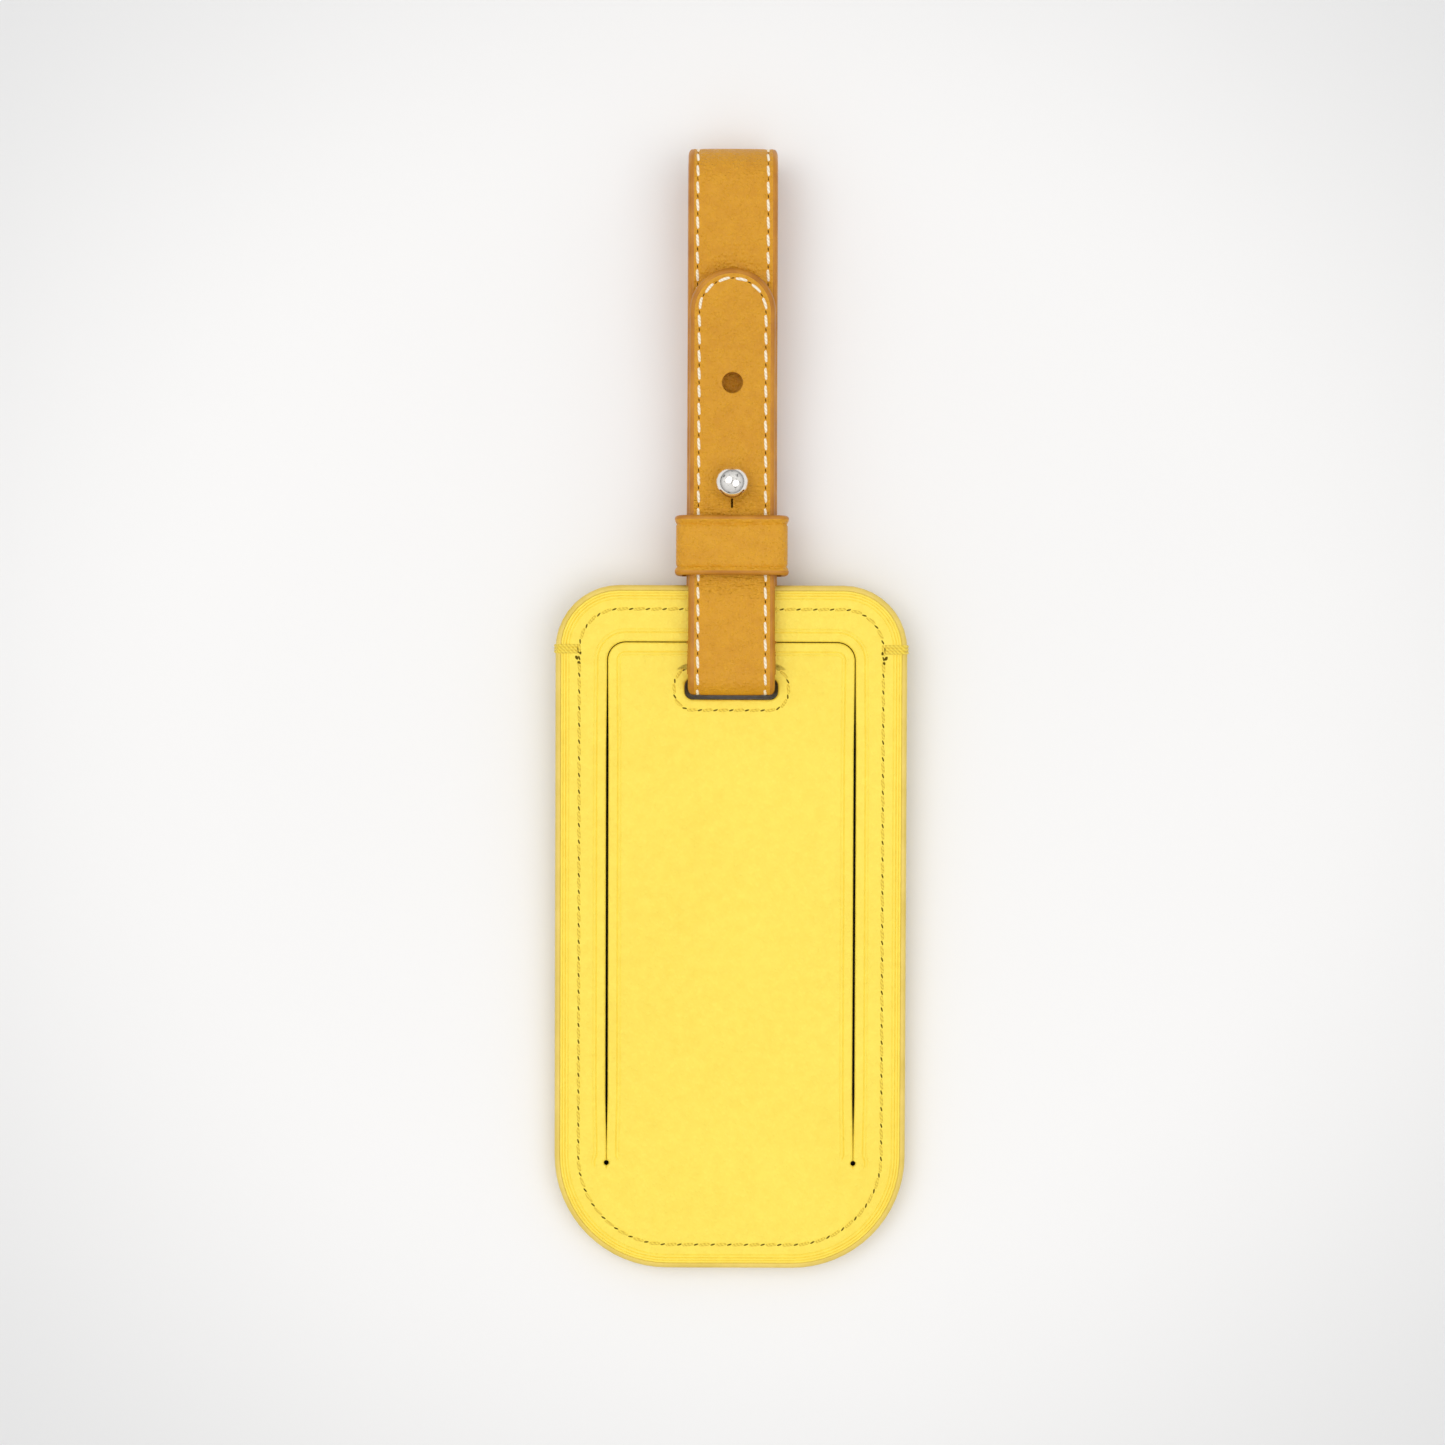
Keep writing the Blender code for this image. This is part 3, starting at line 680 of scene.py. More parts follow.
def cut_rings(side):
    """From the cut's wall over its rolled edge and its creases to the flat beyond."""
    rings = [leant(cut_ring(0.0, side), FRONT[0])]
    for offset, depth in ROLLED[:-1] + CUT_CREASES:
        points = cut_ring(offset * MM, side)
        rings.append(leant(points, cut_heights(points, depth)))
    return rings


def frame_leather():
    """Front panel outside the cut, down to its own foot."""
    inner = cut_rings(1)[::-1]
    wall = len(inner) - 2
    obj = plate(
        "front_frame_leather",
        [rim_rings(FRONT[0], FRONT[1], -1), inner],
        [YELLOW, SLIT_WALL_SHADE],
        # The cut's wall takes the painted shade.
        tag=lambda g, k: 1 if g == 1 and k == wall else 0,
    )
    done(obj, "tag", "yellow_leather", "front_frame")


def flap_leather():
    """Flap inside the cut, round the strap's slot, hinged at its foot; here it is drawn flat."""
    outer = cut_rings(-1)
    for offset in FLAP_INSETS:
        outer.append(leant(cut_ring(offset * MM, -1), TOP_W))
    inner = slot_rings(FRONT[0], FRONT[1], -1)
    last = len(inner) - 2
    obj = plate(
        "front_flap_leather",
        [outer, inner],
        [YELLOW, SLIT_WALL_SHADE],
        # The cut's wall and the slot's wall take the painted shade.
        tag=lambda g, k: 1 if (g, k) in ((0, 0), (1, last)) else 0,
    )
    start = leant(np.array([(0.0, BUTT_V + 0.1 * MM)]), FRONT[1])[0]
    end = leant(np.array([(0.0, HINGE_V + 2.2 * MM)]), FRONT[1])[0]
    done(obj, ("tag", "flap", start, end), "yellow_leather", "flap_leather")


def back_leather():
    """Back panel, with its own slot."""
    inner = slot_rings(BACK[1], BACK[0], 1)
    last = len(inner) - 2
    obj = plate(
        "back_panel_leather",
        [rim_rings(BACK[1], BACK[0], 1), inner],
        [YELLOW, SLIT_WALL_SHADE],
        # The slot's wall takes the painted shade.
        tag=lambda g, k: 1 if g == 1 and k == last else 0,
    )
    done(obj, "tag", "yellow_leather", "back_panel")


def painted_edge():
    """One burnished coat over the edges of all the plies, with a faint line between them."""
    lower = [(inset, depth * MM) for inset, depth in (*EDGE_COAT, PLY_LINE)]
    upper = [(inset, TOP_W - depth * MM) for inset, depth in reversed(EDGE_COAT)]
    inner = [(inset, height * MM) for inset, height in COAT_INSIDE]
    rings = []
    for inset, height in lower + upper + inner:
        rings.append(leant(outer_ring(inset * MM), height))
    obj = loft("edge_coat", rings, [YELLOW_PAINT], sharp=50.0)
    done(obj, "tag", "yellow_leather")


frame_leather()
flap_leather()
back_leather()
painted_edge()

# ---------------------------------------------------------------- stitches

TUBE_SIDES = 8
SEED_RINGS = 7
THREAD_WIDE, THREAD_TALL = 0.27 * MM, 0.2 * MM
STITCH_SWELL = np.array((0.6, 0.9, 1.0, 1.0, 1.0, 0.9, 0.6))
STITCH_SINK = (-1.3, -0.2, 0.0, 0.08, 0.0, -0.2, -1.3)
HOLE_LEAN = math.radians(24)
HOLE_DEPTH = 0.035 * MM
PROBE = 0.05 * MM


class Shape:
    """Many small closed bodies gathered into one mesh."""

    def __init__(self):
        self.verts, self.faces, self.tags = [], [], []

    def tube(self, centres, normals, wide, tall, tag=0):
        """A body along centres, with its own half width and half height at each."""
        centres, normals = np.array(centres, float), np.array(normals, float)
        ahead = np.gradient(centres, axis=0)
        ahead /= np.linalg.norm(ahead, axis=1)[:, None]
        across = np.cross(ahead, normals)
        across /= np.linalg.norm(across, axis=1)[:, None]
        base = len(self.verts)
        turns = 2 * np.pi * np.arange(TUBE_SIDES) / TUBE_SIDES
        for c, n, a, w, t in zip(centres, normals, across, wide, tall):
            for turn in turns:
                self.verts.append(c + a * w * math.cos(turn) + n * t * math.sin(turn))
        faces = []
        for row in range(base, len(self.verts) - TUBE_SIDES, TUBE_SIDES):
            faces += quads(row, row + TUBE_SIDES, TUBE_SIDES)
        faces += one_face(base, TUBE_SIDES)
        faces += one_face(len(self.verts) - TUBE_SIDES, TUBE_SIDES)
        self.faces += faces
        self.tags += [tag] * len(faces)

    def seed(self, centre, ahead, normal, reach, wide, tall):
        """A seed-shaped body that tapers to both ends, in the second material, the painted shade: a needle
        hole or a knot.
        """
        share = np.linspace(-1, 1, SEED_RINGS)
        swell = np.sqrt(1 - (share * 0.96) ** 2)
        centres = centre + ahead * share[:, None] * reach
        self.tube(centres, [normal] * SEED_RINGS, swell * wide, swell * tall, tag=1)

    def object(self, name, skins):
        return finished(name, self.verts, self.faces, skins, self.tags, sharp=60.0)


def stitched(shape, path, normals, pitch, gap, slant, hole, closed):
    """A run of stitches that dip into needle holes, along a path on the leather's face.

    gap is the bare length between stitches, slant how far each one leans across the run, and
    hole the half length and half width of a needle hole.
    """
    if closed:
        path = np.concatenate([path, path[:1]])
        normals = np.concatenate([normals, normals[:1]])
    along = distances(path)
    count = max(int(round(along[-1] / pitch)), 1)
    step = along[-1] / count

    def at(s):
        normal = read(normals, along, s)
        return read(path, along, s), normal / np.linalg.norm(normal)

    for n in range(count):
        start, end = n * step + gap / 2, (n + 1) * step - gap / 2
        centres, faces = [], []
        for share, drop in zip(np.linspace(0, 1, len(STITCH_SINK)), STITCH_SINK):
            s = start + (end - start) * share
            point, normal = at(s)
            sideways = np.cross(normal, at(s + PROBE)[0] - point)
            sideways /= max(np.linalg.norm(sideways), 1e-9)
            centres.append(point + normal * drop * THREAD_TALL + sideways * slant * (share - 0.5))
            faces.append(normal)
        shape.tube(centres, faces, STITCH_SWELL * THREAD_WIDE, STITCH_SWELL * THREAD_TALL)
    # Needle holes: dark seeds in the seam's second material, the painted shade.
    for n in range(count if closed else count + 1):
        point, normal = at(n * step)
        ahead = at(n * step + PROBE)[0] - at(n * step - PROBE)[0]
        ahead /= max(np.linalg.norm(ahead), 1e-9)
        sideways = np.cross(normal, ahead)
        long_way = ahead * math.cos(HOLE_LEAN) + sideways * math.sin(HOLE_LEAN)
        shape.seed(point, long_way, normal, hole[0], hole[1], HOLE_DEPTH)


# Yellow thread, and the painted shade of its needle holes.
YELLOW_SEAM = [YELLOW_THREAD, YELLOW_HOLE_SHADE]
YELLOW_NEEDLE = (0.52 * MM, 0.17 * MM)
SUNK = 0.09 * MM
PANEL_PITCH = 2.84 * MM
SLOT_PITCH = 2.6 * MM


def flat_seam(name, outline, up, pitch, body, *nodes):
    """A closed seam on the tag's front (up 1) or its rear (up -1)."""
    shape = Shape()
    path = leant(outline, FRONT[1] - SUNK if up > 0 else BACK[0] + SUNK)
    face = np.array((0.0, -math.sin(TILT), math.cos(TILT))) * up
    normals = np.tile(face, (len(path), 1))
    stitched(
        shape,
        path,
        normals,
        pitch,
        gap=0.5 * MM,
        slant=0.28 * MM * up,
        hole=YELLOW_NEEDLE,
        closed=True,
    )
    done(shape.object(name, YELLOW_SEAM), body, "yellow_thread", *nodes)


flat_seam("perimeter_stitches", outer_ring(SEAM), 1, PANEL_PITCH, "tag", "perimeter_thread")
flat_seam("back_perimeter_stitches", outer_ring(SEAM), -1, PANEL_PITCH, "tag")
flat_seam("slot_stitches", slot_ring(SLOT_SEAM), 1, SLOT_PITCH, "flap", "flap_slot_thread")
flat_seam("back_slot_stitches", slot_ring(SLOT_SEAM), -1, SLOT_PITCH, "tag", "back_slot_thread")

STRAND_PITCH = 0.52 * MM
WRAP_ROUND = 0.9 * MM
WRAP_PROUD = 0.06 * MM
# Knots, in millimetres: distance out from the wrap's inner end, and up from the pocket's mouth.
KNOTS = ((0.0, 0.0), (-0.35, -0.55), (0.15, -1.5), (-0.25, -2.4))


def edge_wrap(label, side):
    """Strands that bar the edge at the pocket's mouth, with knots at their inner end, drawn in the dark
    colour of the needle holes' painted shade.
    """
    shape = Shape()
    inner, outer = HALF - SEAM + 0.3 * MM, HALF + 2 * WRAP_PROUD
    face, rear = FRONT[1] + WRAP_PROUD, -WRAP_PROUD
    middle_w, half_w = (face + rear) / 2, face / 2
    for strand in (-1, 0, 1):
        v = MOUTH_V + strand * STRAND_PITCH
        rows = [(inner, face - 0.35 * MM), (inner - 0.05 * MM, face)]
        rows += [(x, face) for x in np.linspace(inner, HALF - WRAP_ROUND, 5)[1:]]
        for turn in np.radians(np.linspace(75, -75, 9)):
            x = outer - WRAP_ROUND + WRAP_ROUND * math.cos(turn)
            rows.append((x, middle_w + half_w * math.sin(turn)))
        rows += [(x, rear) for x in np.linspace(HALF - WRAP_ROUND, inner, 5)]
        rows += [(inner - 0.05 * MM, rear + 0.35 * MM)]
        rows = np.array(rows)
        flat = np.stack([side * rows[:, 0], np.full(len(rows), v)], 1)
        centres = leant(flat, rows[:, 1])
        middle = leant(np.array([(side * (inner - 1.0 * MM), v)]), middle_w)[0]
        out = centres - middle
        out /= np.linalg.norm(out, axis=1)[:, None]
        even = np.ones(len(rows))
        shape.tube(centres, out, even * THREAD_WIDE, even * THREAD_TALL)
    ahead = np.array((side * 0.5, 0.86, 0.0))
    # The knots take the seam's second material, the needle holes' painted shade.
    for k, (dx, dv) in enumerate(KNOTS):
        place = np.array([(side * (inner + dx * MM), MOUTH_V + dv * MM)])
        centre = leant(place, FRONT[1] - 0.02 * MM)[0]
        shape.seed(centre, ahead, (0, 0, 1), (0.5 - 0.06 * k) * MM, 0.26 * MM, 0.12 * MM)
    obj = shape.object("edge_bar_" + label, YELLOW_SEAM)
    done(obj, "tag", "yellow_thread", "edge_wrap_" + label)


edge_wrap("left", -1)
edge_wrap("right", 1)

# ---------------------------------------------------------------- strap route


class Route:
    """The strap's middle line in the YZ plane, read by distance, with its outward normal."""

    def __init__(self, points):
        self.points = np.array(points)
        self.along = distances(self.points)
        self.length = float(self.along[-1])
        ahead = np.gradient(self.points, axis=0)
        ahead /= np.linalg.norm(ahead, axis=1)[:, None]
        self.normals = np.stack([-ahead[:, 1], ahead[:, 0]], 1)

    def frame(self, s):
        """The point and the outward normal at distance s, in the world frame."""
        point = np.array([0.0, *read(self.points, self.along, s)])
        normal = np.array([0.0, *read(self.normals, self.along, s)])
        return point, normal / np.linalg.norm(normal)


def paced(start, end, pitch):
    """Points of a line after its first, about a pitch apart."""
    steps = max(int(math.dist(start, end) / pitch), 1)
    return line(start, end, steps)


def stud_end_points():
    """Up the front beneath the tip, then in a soft S to the top of the fold."""
    climb = 2 * FOLD_R + BACK_Z - STUD_END_Z
    t = np.linspace(0, 1, 61)[1:]
    bend = np.stack([BEND_Y + (FOLD_Y - BEND_Y) * t, STUD_END_Z + climb * t * t * (3 - 2 * t)], 1)
    start = (STUD_END_Y, STUD_END_Z)
    flat = paced(start, (BEND_Y, STUD_END_Z), 1.0 * MM)
    return np.concatenate([[start], flat, bend])


def loop_points():
    """From the stud end over the fold, down the back, through the slot and up into the keeper."""
    fold = arc((FOLD_Y, BACK_Z + FOLD_R), FOLD_R, 90, -90, 28)
    back = paced((FOLD_Y, BACK_Z), (TURN_Y, BACK_Z), 1.0 * MM)
    lower = arc((TURN_Y, BACK_Z + TURN_R), TURN_R, -90, -180, 10)
    upper = arc((TURN_Y, LEG_Z - TURN_R), TURN_R, 180, 90, 10)
    rise = paced(lower[-1], (TURN_Y - TURN_R, LEG_Z - TURN_R), 0.8 * MM)
    leg = paced((TURN_Y, LEG_Z), (SPLIT_Y, LEG_Z), 1.0 * MM)
    return np.concatenate([stud_end_points(), fold, back, lower, rise, upper, leg])


def tip_points():
    """From under the keeper, straight, and then parallel to the stud end beneath."""
    under = Route(stud_end_points())
    lift = LEG_Z - STUD_END_Z
    start = np.interp(SPLIT_Y, under.points[:, 0], under.along)
    rows = []
    for s in np.arange(start, under.length, 0.8 * MM):
        point, normal = under.frame(s)
        rows.append((point + lift * normal)[1:])
    rows = np.array(rows)
    keep = rows[:, 0] < TIP_END_Y
    last = rows[keep][-1]
    after = rows[~keep][0]
    share = (TIP_END_Y - last[0]) / (after[0] - last[0])
    return np.concatenate([rows[keep], [last + (after - last) * share]])


LOOP = Route(loop_points())
TIP = Route(tip_points())
TOTAL = LOOP.length + TIP.length


def half_at(before, s):
    """The strap narrows evenly from its hidden end to its tip."""
    return STRAP_HALF + (TIP_HALF - STRAP_HALF) * (before + s) / TOTAL


# Half of a face, in millimetres from the middle outwards: distance in from the edge, and rise.
PROFILE = (
    (4.2, 0.03), (3.0, 0.02), (2.25, 0.0), (1.95, -0.06), (1.65, -0.12), (1.35, -0.06),
    (1.05, 0.0), (0.84, -0.02), (0.75, -0.07), (0.66, -0.04), (0.44, -0.12), (0.22, -0.34),
    (0.07, -0.68), (0.0, -1.05),
)
PAINTED_FROM = 8
CROWN = 0.04 * MM


def strap_ring(point, normal, half):
    """The strap's cross-section: crowned faces, a sewing groove and rolled painted edges."""
    rows = [(0.0, STRAP_T + CROWN)]
    for inset, height in PROFILE:
        rows.append((max(half - inset * MM, 0.2 * MM), STRAP_T + height * MM))
    rows = np.array(rows)
    rows[:, 0] = np.minimum.accumulate(rows[::-1, 0])[::-1]
    right = np.concatenate([rows, rows[::-1] * (1, -1)])
    left = right[1:-1][::-1] * (-1, 1)
    outline = np.concatenate([right, left])
    return point + outline[:, :1] * np.array((1.0, 0.0, 0.0)) + outline[:, 1:] * normal


def strap_tag(k, i):
    """Painted on the rolled edges, leather elsewhere."""
    side = 2 * (len(PROFILE) + 1)
    place = i if i < side else 2 * side - 2 - i
    painted = PAINTED_FROM <= place < side - 1 - PAINTED_FROM
    return 1 if painted else 0


def tube_cutter(name, radius, centre, depth):
    """A cylinder that cuts a round hole."""
    shape = bmesh.new()
    bmesh.ops.create_cone(
        shape,
        cap_ends=True,
        segments=40,
        radius1=radius,
        radius2=radius,
        depth=depth,
    )
    return cutter(name, shape, centre)


def slit_cutter(name, size, centre):
    """A box that cuts a slit."""
    shape = bmesh.new()
    bmesh.ops.create_cube(shape, size=1.0)
    bmesh.ops.scale(shape, vec=size, verts=shape.verts)
    return cutter(name, shape, centre)


def cutter(name, shape, centre):
    """An object from a cutting body. Cuts take its second material, the paint."""
    mesh = bpy.data.meshes.new(name)
    shape.to_mesh(mesh)
    shape.free()
    for skin in (TAN, TAN_PAINT):
        mesh.materials.append(skin)
    mesh.polygons.foreach_set("material_index", [1] * len(mesh.polygons))
    return placed(name, mesh, centre)


def cut_away(obj, cutters):
    """Cuts the bodies out of obj, keeps the result as its mesh and removes the cutters."""
    for body in cutters:
        step = obj.modifiers.new("cut", "BOOLEAN")
        step.operation = "DIFFERENCE"
        step.object = body
    graph = bpy.context.evaluated_depsgraph_get()
    mesh = bpy.data.meshes.new_from_object(obj.evaluated_get(graph))
    obj.modifiers.clear()
    obj.data = mesh
    mesh.shade_smooth()
    mesh.set_sharp_from_angle(angle=math.radians(SHARP_ANGLE))
    for body in cutters:
        bpy.data.objects.remove(body, do_unlink=True)


TURN_START = (0.0, TURN_Y - TURN_R + 0.2 * MM, LEG_Z)
TURN_END = (0.0, TURN_Y + 0.6 * MM, LEG_Z)
TURN_BLEND = ("strap_turn", "strap_loop", TURN_START, TURN_END)
LIFT_START = (0.0, TIP_HINGE_Y - 0.6 * MM, LEG_Z)
LIFT_END = (0.0, TIP_HINGE_Y + 3.0 * MM, LEG_Z)
TIP_BLEND = ("strap_loop", "strap_tip", LIFT_START, LIFT_END)


def strap_loop():
    """The strap from its hidden end, over the fold, down behind and out through the slot."""
    rings = [strap_ring(*LOOP.frame(s), half_at(0.0, s)) for s in LOOP.along]
    obj = loft("strap_leather", rings, [TAN, TAN_PAINT], strap_tag, cap=one_face)
    around = (0.0, STUD[1], STUD_END_Z)
    cut_away(obj, [tube_cutter("neck_hole", NECK_HOLE, around, 5 * MM)])
    done(obj, TURN_BLEND, "tan_leather", "strap_face", "strap_lining", "turn_face", "turn_lining")


TIP_STRAIGHT = TIP.length - TIP_HALF
TIP_ARC = 48


def tip_outline(inset):
    """The tip's outline moved in, as (x, distance along it), from right to left round its end."""
    rows = [s for s in TIP.along if s < TIP_STRAIGHT - 0.3 * MM]
    right = [(half_at(LOOP.length, s) - inset, max(s, inset / 2)) for s in rows]
    end = arc((0, TIP_STRAIGHT), half_at(LOOP.length, TIP_STRAIGHT) - inset, 0, 180, TIP_ARC)
    start = [(half_at(LOOP.length, TIP_STRAIGHT) - inset, TIP_STRAIGHT)]
    left = [(-x, s) for x, s in reversed(right)]
    return np.concatenate([right, start, end, left])


def tip_ring(inset, height):
    """The tip's outline moved in, at a height over its middle line."""
    rows = []
    for x, s in tip_outline(inset):
        point, normal = TIP.frame(min(s, TIP.length))
        rows.append(point + np.array((x, 0, 0)) + normal * height)
    return np.array(rows)


def ladder(start, count):
    """Faces that close a ring whose points pair up across its middle."""
    faces = []
    for k in range(count // 2 - 1):
        far = start + count - 1 - k
        faces.append((start + k, start + k + 1, far - 1, far))
    if count % 2:
        middle = start + count // 2
        faces.append((middle - 1, middle, middle + 1))
    return faces


def strap_tip():
    """The tip, which buttons over the stud, with its round end and two holes."""
    rings = [tip_ring(inset * MM, STRAP_T + rise * MM) for inset, rise in PROFILE]
    rings += [tip_ring(inset * MM, -STRAP_T - rise * MM) for inset, rise in reversed(PROFILE)]
    painted = range(PAINTED_FROM - 1, len(rings) - PAINTED_FROM)
    obj = loft(
        "strap_tip_leather",
        rings,
        [TAN, TAN_PAINT],
        tag=lambda k, i: int(k in painted),
        cap=ladder,
    )
    spare = (0.0, SPARE_Y, LEG_Z + 0.6 * MM)
    button = (0.0, STUD[1], LEG_Z)
    slit = (0.0, STUD[1] - BUTTON_SLIT[1], LEG_Z)
    cutters = [
        tube_cutter("spare", HOLE_IN_STRAP, spare, 9 * MM),
        tube_cutter("buttonhole", HOLE_IN_STRAP, button, 6 * MM),
        slit_cutter("slit", BUTTON_SLIT, slit),
    ]
    cut_away(obj, cutters)
    nodes = ("tip_face", "tip_lining", "front_leg_face", "front_leg_lining")
    done(obj, TIP_BLEND, "tan_leather", *nodes)


strap_loop()
strap_tip()

# ---------------------------------------------------------------- strap stitches

# Cream thread, and the painted shade of its needle holes.
CREAM_SEAM = [CREAM_THREAD, TAN_HOLE_SHADE]
CREAM_NEEDLE = (0.46 * MM, 0.17 * MM)
STRAP_PITCH = 2.95 * MM
GROOVE = 0.13 * MM


def seam_on(route, rows, face):
    """Points and normals of a seam through (x, distance) rows, on the outer (1) or inner face (-1)."""
    points, normals = [], []
    for x, s in rows:
        point, normal = route.frame(s)
        points.append(point + np.array((x, 0, 0)) + face * normal * (STRAP_T - GROOVE))
        normals.append(face * normal)
    return np.array(points), np.array(normals)


def sew(shape, points, normals):
    """Cream stitches along an open path."""
    stitched(
        shape,
        points,
        normals,
        STRAP_PITCH,
        gap=0.42 * MM,
        slant=0.22 * MM,
        hole=CREAM_NEEDLE,
        closed=False,
    )


def strap_seams():
    """Seams along both edges and on both faces, of the strap and then of its tip."""
    shape = Shape()
    for side in (-1, 1):
        run = np.arange(1.5 * MM, LOOP.length - 0.4 * MM, 0.5 * MM)
        rows = [(side * (half_at(0.0, s) - STRAP_SEAM), s) for s in run]
        for face in (-1, 1):
            sew(shape, *seam_on(LOOP, rows, face))
    threads = ["strap_thread_left", "strap_thread_right", "front_leg_thread_left", "front_leg_thread_right"]
    done(shape.object("strap_stitches", CREAM_SEAM), TURN_BLEND, "cream_thread", *threads)
    shape = Shape()
    for face in (-1, 1):
        sew(shape, *seam_on(TIP, tip_outline(STRAP_SEAM), face))
    done(shape.object("strap_tip_stitches", CREAM_SEAM), TIP_BLEND, "cream_thread", "tip_thread")


strap_seams()

# ---------------------------------------------------------------- keeper, stud and CAD pieces


def box_outline(half, z_low, z_high, radius):
    """A box with round corners, as (x, z)."""
    steps = 8
    x = half - radius
    return mirrored(
        [(0.0, z_low)],
        line((0.0, z_low), (x, z_low), steps),
        arc((x, z_low + radius), radius, -90, 0, steps),
        line((half, z_low + radius), (half, z_high - radius), 6),
        arc((x, z_high - radius), radius, 0, 90, steps),
        line((x, z_high), (0.0, z_high), steps),
    )


KEEPER_WALL = 1.2 * MM
KEEPER_CORNER = 2.0 * MM
KEEPER_EASE = 0.1 * MM
# In millimetres in from either end of the keeper, with the rise over its face there.
KEEPER_RIM = (
    (0.0, -0.45), (0.06, -0.18), (0.2, 0.06), (0.42, 0.2), (0.7, 0.22), (0.95, 0.1),
    (1.2, -0.02), (1.34, -0.12), (1.48, -0.2), (1.62, -0.12), (1.78, -0.02), (2.3, 0.0),
)
# The same for its inner face, with the wall's change in thickness.
KEEPER_MOUTH = ((0.0, -0.096), (0.7, 0.0))


def across_strap(outline, y):
    """Points (x, z) at one y, in the world frame."""
    return np.stack([outline[:, 0], np.full(len(outline), y), outline[:, 1]], 1)


def both_ends(rows):
    """The rows from the keeper's lower end and then up to its upper end."""
    lower = [(KEEPER_LOW[1] + y * MM, rise * MM) for y, rise in rows]
    upper = [(KEEPER_HIGH[1] - y * MM, rise * MM) for y, rise in reversed(rows)]
    return lower + upper


def keeper():
    """Band of leather with flared rims and a pressed line inside each rim."""
    half, z_low, z_high = KEEPER_HIGH[0], KEEPER_LOW[2], KEEPER_HIGH[2]
    rings = []
    for y, rise in both_ends(KEEPER_RIM):
        out = rise - KEEPER_EASE
        outline = box_outline(half + out, z_low - out, z_high + out, KEEPER_CORNER + rise)
        rings.append(across_strap(outline, y))
    for y, change in reversed(both_ends(KEEPER_MOUTH)):
        deep = KEEPER_WALL + change
        outline = box_outline(half - deep, z_low + deep, z_high - deep, 0.8 * MM)
        rings.append(across_strap(outline, y))
    outer = 2 * len(KEEPER_RIM)
    # Paint covers both rims, from where they flare to just inside the band.
    painted = {0, 1, 2, 3, *range(outer - 5, outer + 1), outer + 2, outer + 3}
    obj = loft("keeper_leather", rings, [TAN, TAN_PAINT], tag=lambda k, i: int(k in painted))
    done(obj, "keeper", "tan_leather", "keeper_band")


def turned(name, profile, centre, skins):
    """A body turned about Z from (radius, height) rows that start and end near the axis."""
    steps = 64
    turns = 2 * np.pi * np.arange(steps) / steps
    rings = []
    for radius, height in profile:
        x, y = radius * np.cos(turns), radius * np.sin(turns)
        rings.append(np.stack([centre[0] + x, centre[1] + y, np.full(steps, height)], 1))
    return loft(name, rings, skins, cap=one_face, sharp=32.0)


STUD_NECK = 1.5 * MM
# The flange under the ball, in millimetres: radius, and height over the strap's face.
STUD_FLANGE = (
    (1.5, 0.8), (1.6, 0.55), (1.9, 0.45), (2.4, 0.42), (2.5, 0.34), (2.5, 0.2),
    (2.4, 0.12), (1.5, 0.12),
)


def stud():
    """Ball stud: a polished ball, waisted neck and a flange on the strap."""
    meets = math.pi - math.asin(STUD_NECK / BALL_R)
    profile = []
    for turn in np.linspace(0.02, meets, 34):
        profile.append((BALL_R * math.sin(turn), BALL_Z + BALL_R * math.cos(turn)))
    seat = STUD_END_Z + STRAP_T
    profile += [(radius * MM, seat + height * MM) for radius, height in STUD_FLANGE]
    base = low("stud")[2]
    profile += [(STUD_NECK, base), (0.05 * MM, base)]
    obj = turned("stud_ball", profile, STUD, [STEEL])
    done(obj, "strap_loop", "polished_steel", "stud")


keeper()
stud()

KEPT = {
    "stiffener_board": BOARD,
    "window_sheet": FILM,
    "address_card": PAPER,
    "flap_lining": CLOTH,
    "stud_screw": STEEL,
    "keeper_staple": STEEL,
}
for node, skin in KEPT.items():
    data = frame["nodes"][node].data
    data.materials.clear()
    data.materials.append(skin)

# ---------------------------------------------------------------- floor, light and camera

FLOOR_HALF = 1.5
FLOOR_DROP = 0.1 * MM
# Distances in metres from the middle over which painted shade greys the floor.
FLOOR_SHADE_RANGE = (0.09, 0.2)


def floor_skin():
    """Pale matt paper, with painted shade that greys it away from the tag, where the light falls off."""
    skin = Skin("floor_pale", Roughness=0.9)
    reach = skin.node("ShaderNodeVectorMath", {"operation": "LENGTH"})
    skin.feed(reach.inputs[0], skin.place)
    # Painted shade: the floor is darkened towards its far parts, for the light falling off.
    far = skin.remap(reach.outputs["Value"], *FLOOR_SHADE_RANGE, smooth=True)
    cloudy = skin.blend(skin.noise(5.0, 3.0), rgb("F0EFEE"), rgb("F5F4F3"))
    skin.link(skin.blend(far, cloudy, rgb("DDDDDD")), "Base Color")
    skin.link(skin.bump(skin.noise(900.0, 3.0), 0.03 * MM, 0.3), "Normal")
    return skin.material


def floor():
    """A plain floor, just below the tag."""
    shape = bmesh.new()
    bmesh.ops.create_grid(shape, x_segments=8, y_segments=8, size=FLOOR_HALF)
    mesh = bpy.data.meshes.new("floor")
    shape.to_mesh(mesh)
    shape.free()
    mesh.materials.append(floor_skin())
    placed("floor", mesh, (0, 0, CAD_BOX[0][2] - FLOOR_DROP))


def panel_light(name, place, size, watts):
    """A round soft light that points at the tag."""
    light = bpy.data.lights.new(name, "AREA")
    light.shape = "ELLIPSE"
    light.size = size
    light.size_y = size
    light.energy = watts
    x, y, z = place
    turn = (math.atan2(math.hypot(x, y), z), 0.0, math.atan2(x, -y))
    placed(name, light, place).rotation_euler = turn


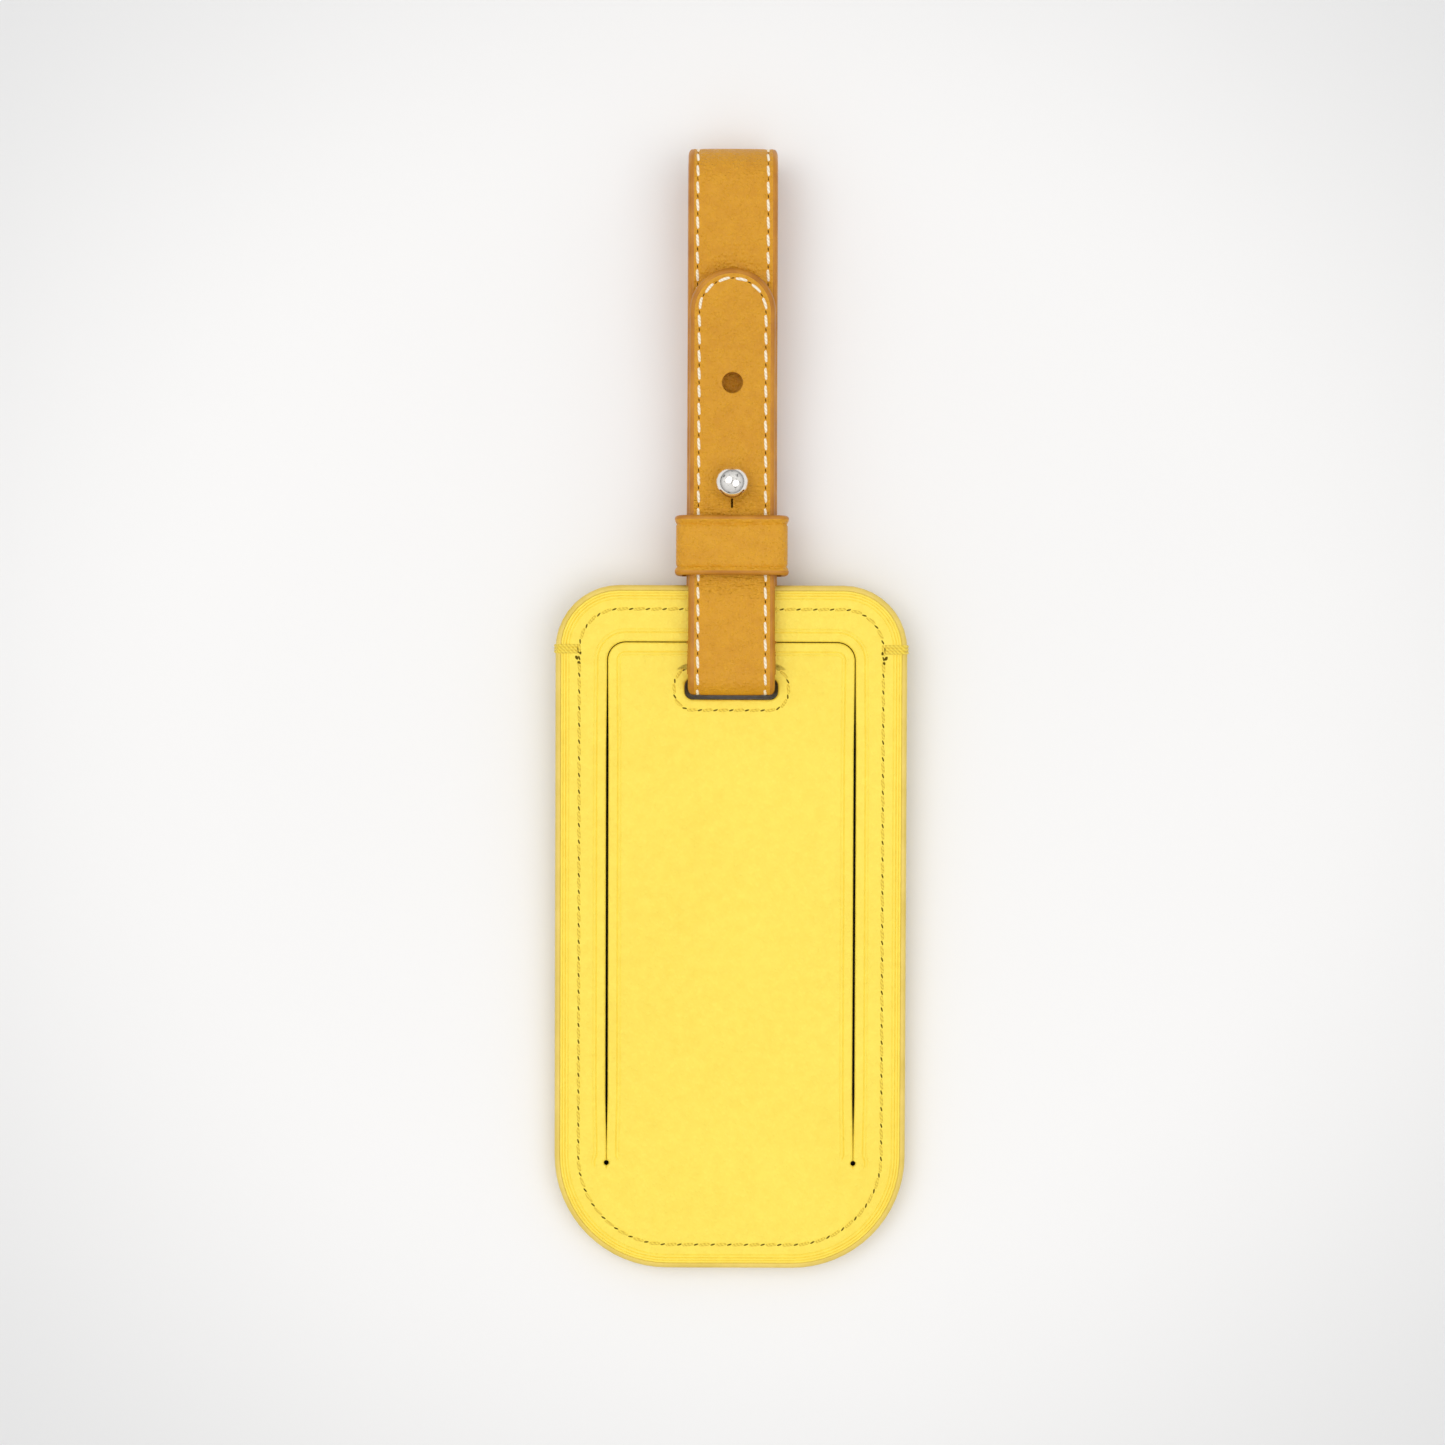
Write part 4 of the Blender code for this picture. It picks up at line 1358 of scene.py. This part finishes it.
# Brightness of the sky against height, from the horizon to straight above.
SKY_STOPS = ((0.0, 0.30), (0.10, 0.45), (0.35, 0.85), (0.80, 1.1), (0.965, 1.1), (0.985, 0.45))
SKY_STRENGTH = 0.86
CLUTTER_SHADE = (0.25, 0.25, 0.25, 1)


def sky():
    """Pale studio: bright overhead, dimmer walls with a few dark things near the horizon."""
    world = bpy.data.worlds.new("studio")
    world.use_nodes = True
    tree = world.node_tree
    back = tree.nodes["Background"]
    place = tree.nodes.new("ShaderNodeTexCoord")
    split = tree.nodes.new("ShaderNodeSeparateXYZ")
    ramp = tree.nodes.new("ShaderNodeValToRGB")
    clutter = tree.nodes.new("ShaderNodeTexNoise")
    shade = tree.nodes.new("ShaderNodeValToRGB")
    mixed = tree.nodes.new("ShaderNodeMix")
    mixed.data_type = "RGBA"
    mixed.blend_type = "MULTIPLY"
    mixed.inputs[MIX_FACTOR].default_value = 1.0
    clutter.inputs["Scale"].default_value = 2.6
    clutter.inputs["Detail"].default_value = 3.0
    tree.links.new(place.outputs["Generated"], split.inputs[0])
    tree.links.new(place.outputs["Generated"], clutter.inputs["Vector"])
    tree.links.new(split.outputs["Z"], ramp.inputs[0])
    tree.links.new(clutter.outputs["Fac"], shade.inputs[0])
    tree.links.new(ramp.outputs[0], mixed.inputs[MIX_FIRST])
    tree.links.new(shade.outputs[0], mixed.inputs[MIX_SECOND])
    tree.links.new(mixed.outputs[MIX_COLOUR], back.inputs["Color"])
    shade.color_ramp.elements[0].position = 0.36
    shade.color_ramp.elements[0].color = CLUTTER_SHADE
    shade.color_ramp.elements[1].position = 0.42
    shade.color_ramp.elements[1].color = (1, 1, 1, 1)
    ramp.color_ramp.elements.remove(ramp.color_ramp.elements[1])
    for position, grey in SKY_STOPS:
        stop = ramp.color_ramp.elements.new(position)
        stop.color = (grey, grey, grey, 1)
    ramp.color_ramp.elements.remove(ramp.color_ramp.elements[0])
    back.inputs["Strength"].default_value = SKY_STRENGTH
    bpy.context.scene.world = world


def camera():
    """Straight above the tag, as far off as a short telephoto stands, rolled to even out its lean."""
    face_z = 6.0 * MM
    view_width = 246.6 * MM
    data = bpy.data.cameras.new("camera")
    data.lens = 85.0
    data.sensor_width = 36.0
    data.clip_start = 0.01
    distance = view_width * data.lens / data.sensor_width
    obj = placed("camera", data, (-1.48 * MM, -2.35 * MM, face_z + distance))
    obj.rotation_euler = (0.0, 0.0, math.radians(0.2))
    bpy.context.scene.camera = obj


floor()
sky()
panel_light("key", (-0.45, 0.25, 1.1), 0.9, 3.1)
panel_light("fill", (0.5, -0.2, 1.1), 1.0, 2.3)
camera()
bpy.context.scene.view_settings.view_transform = "Standard"
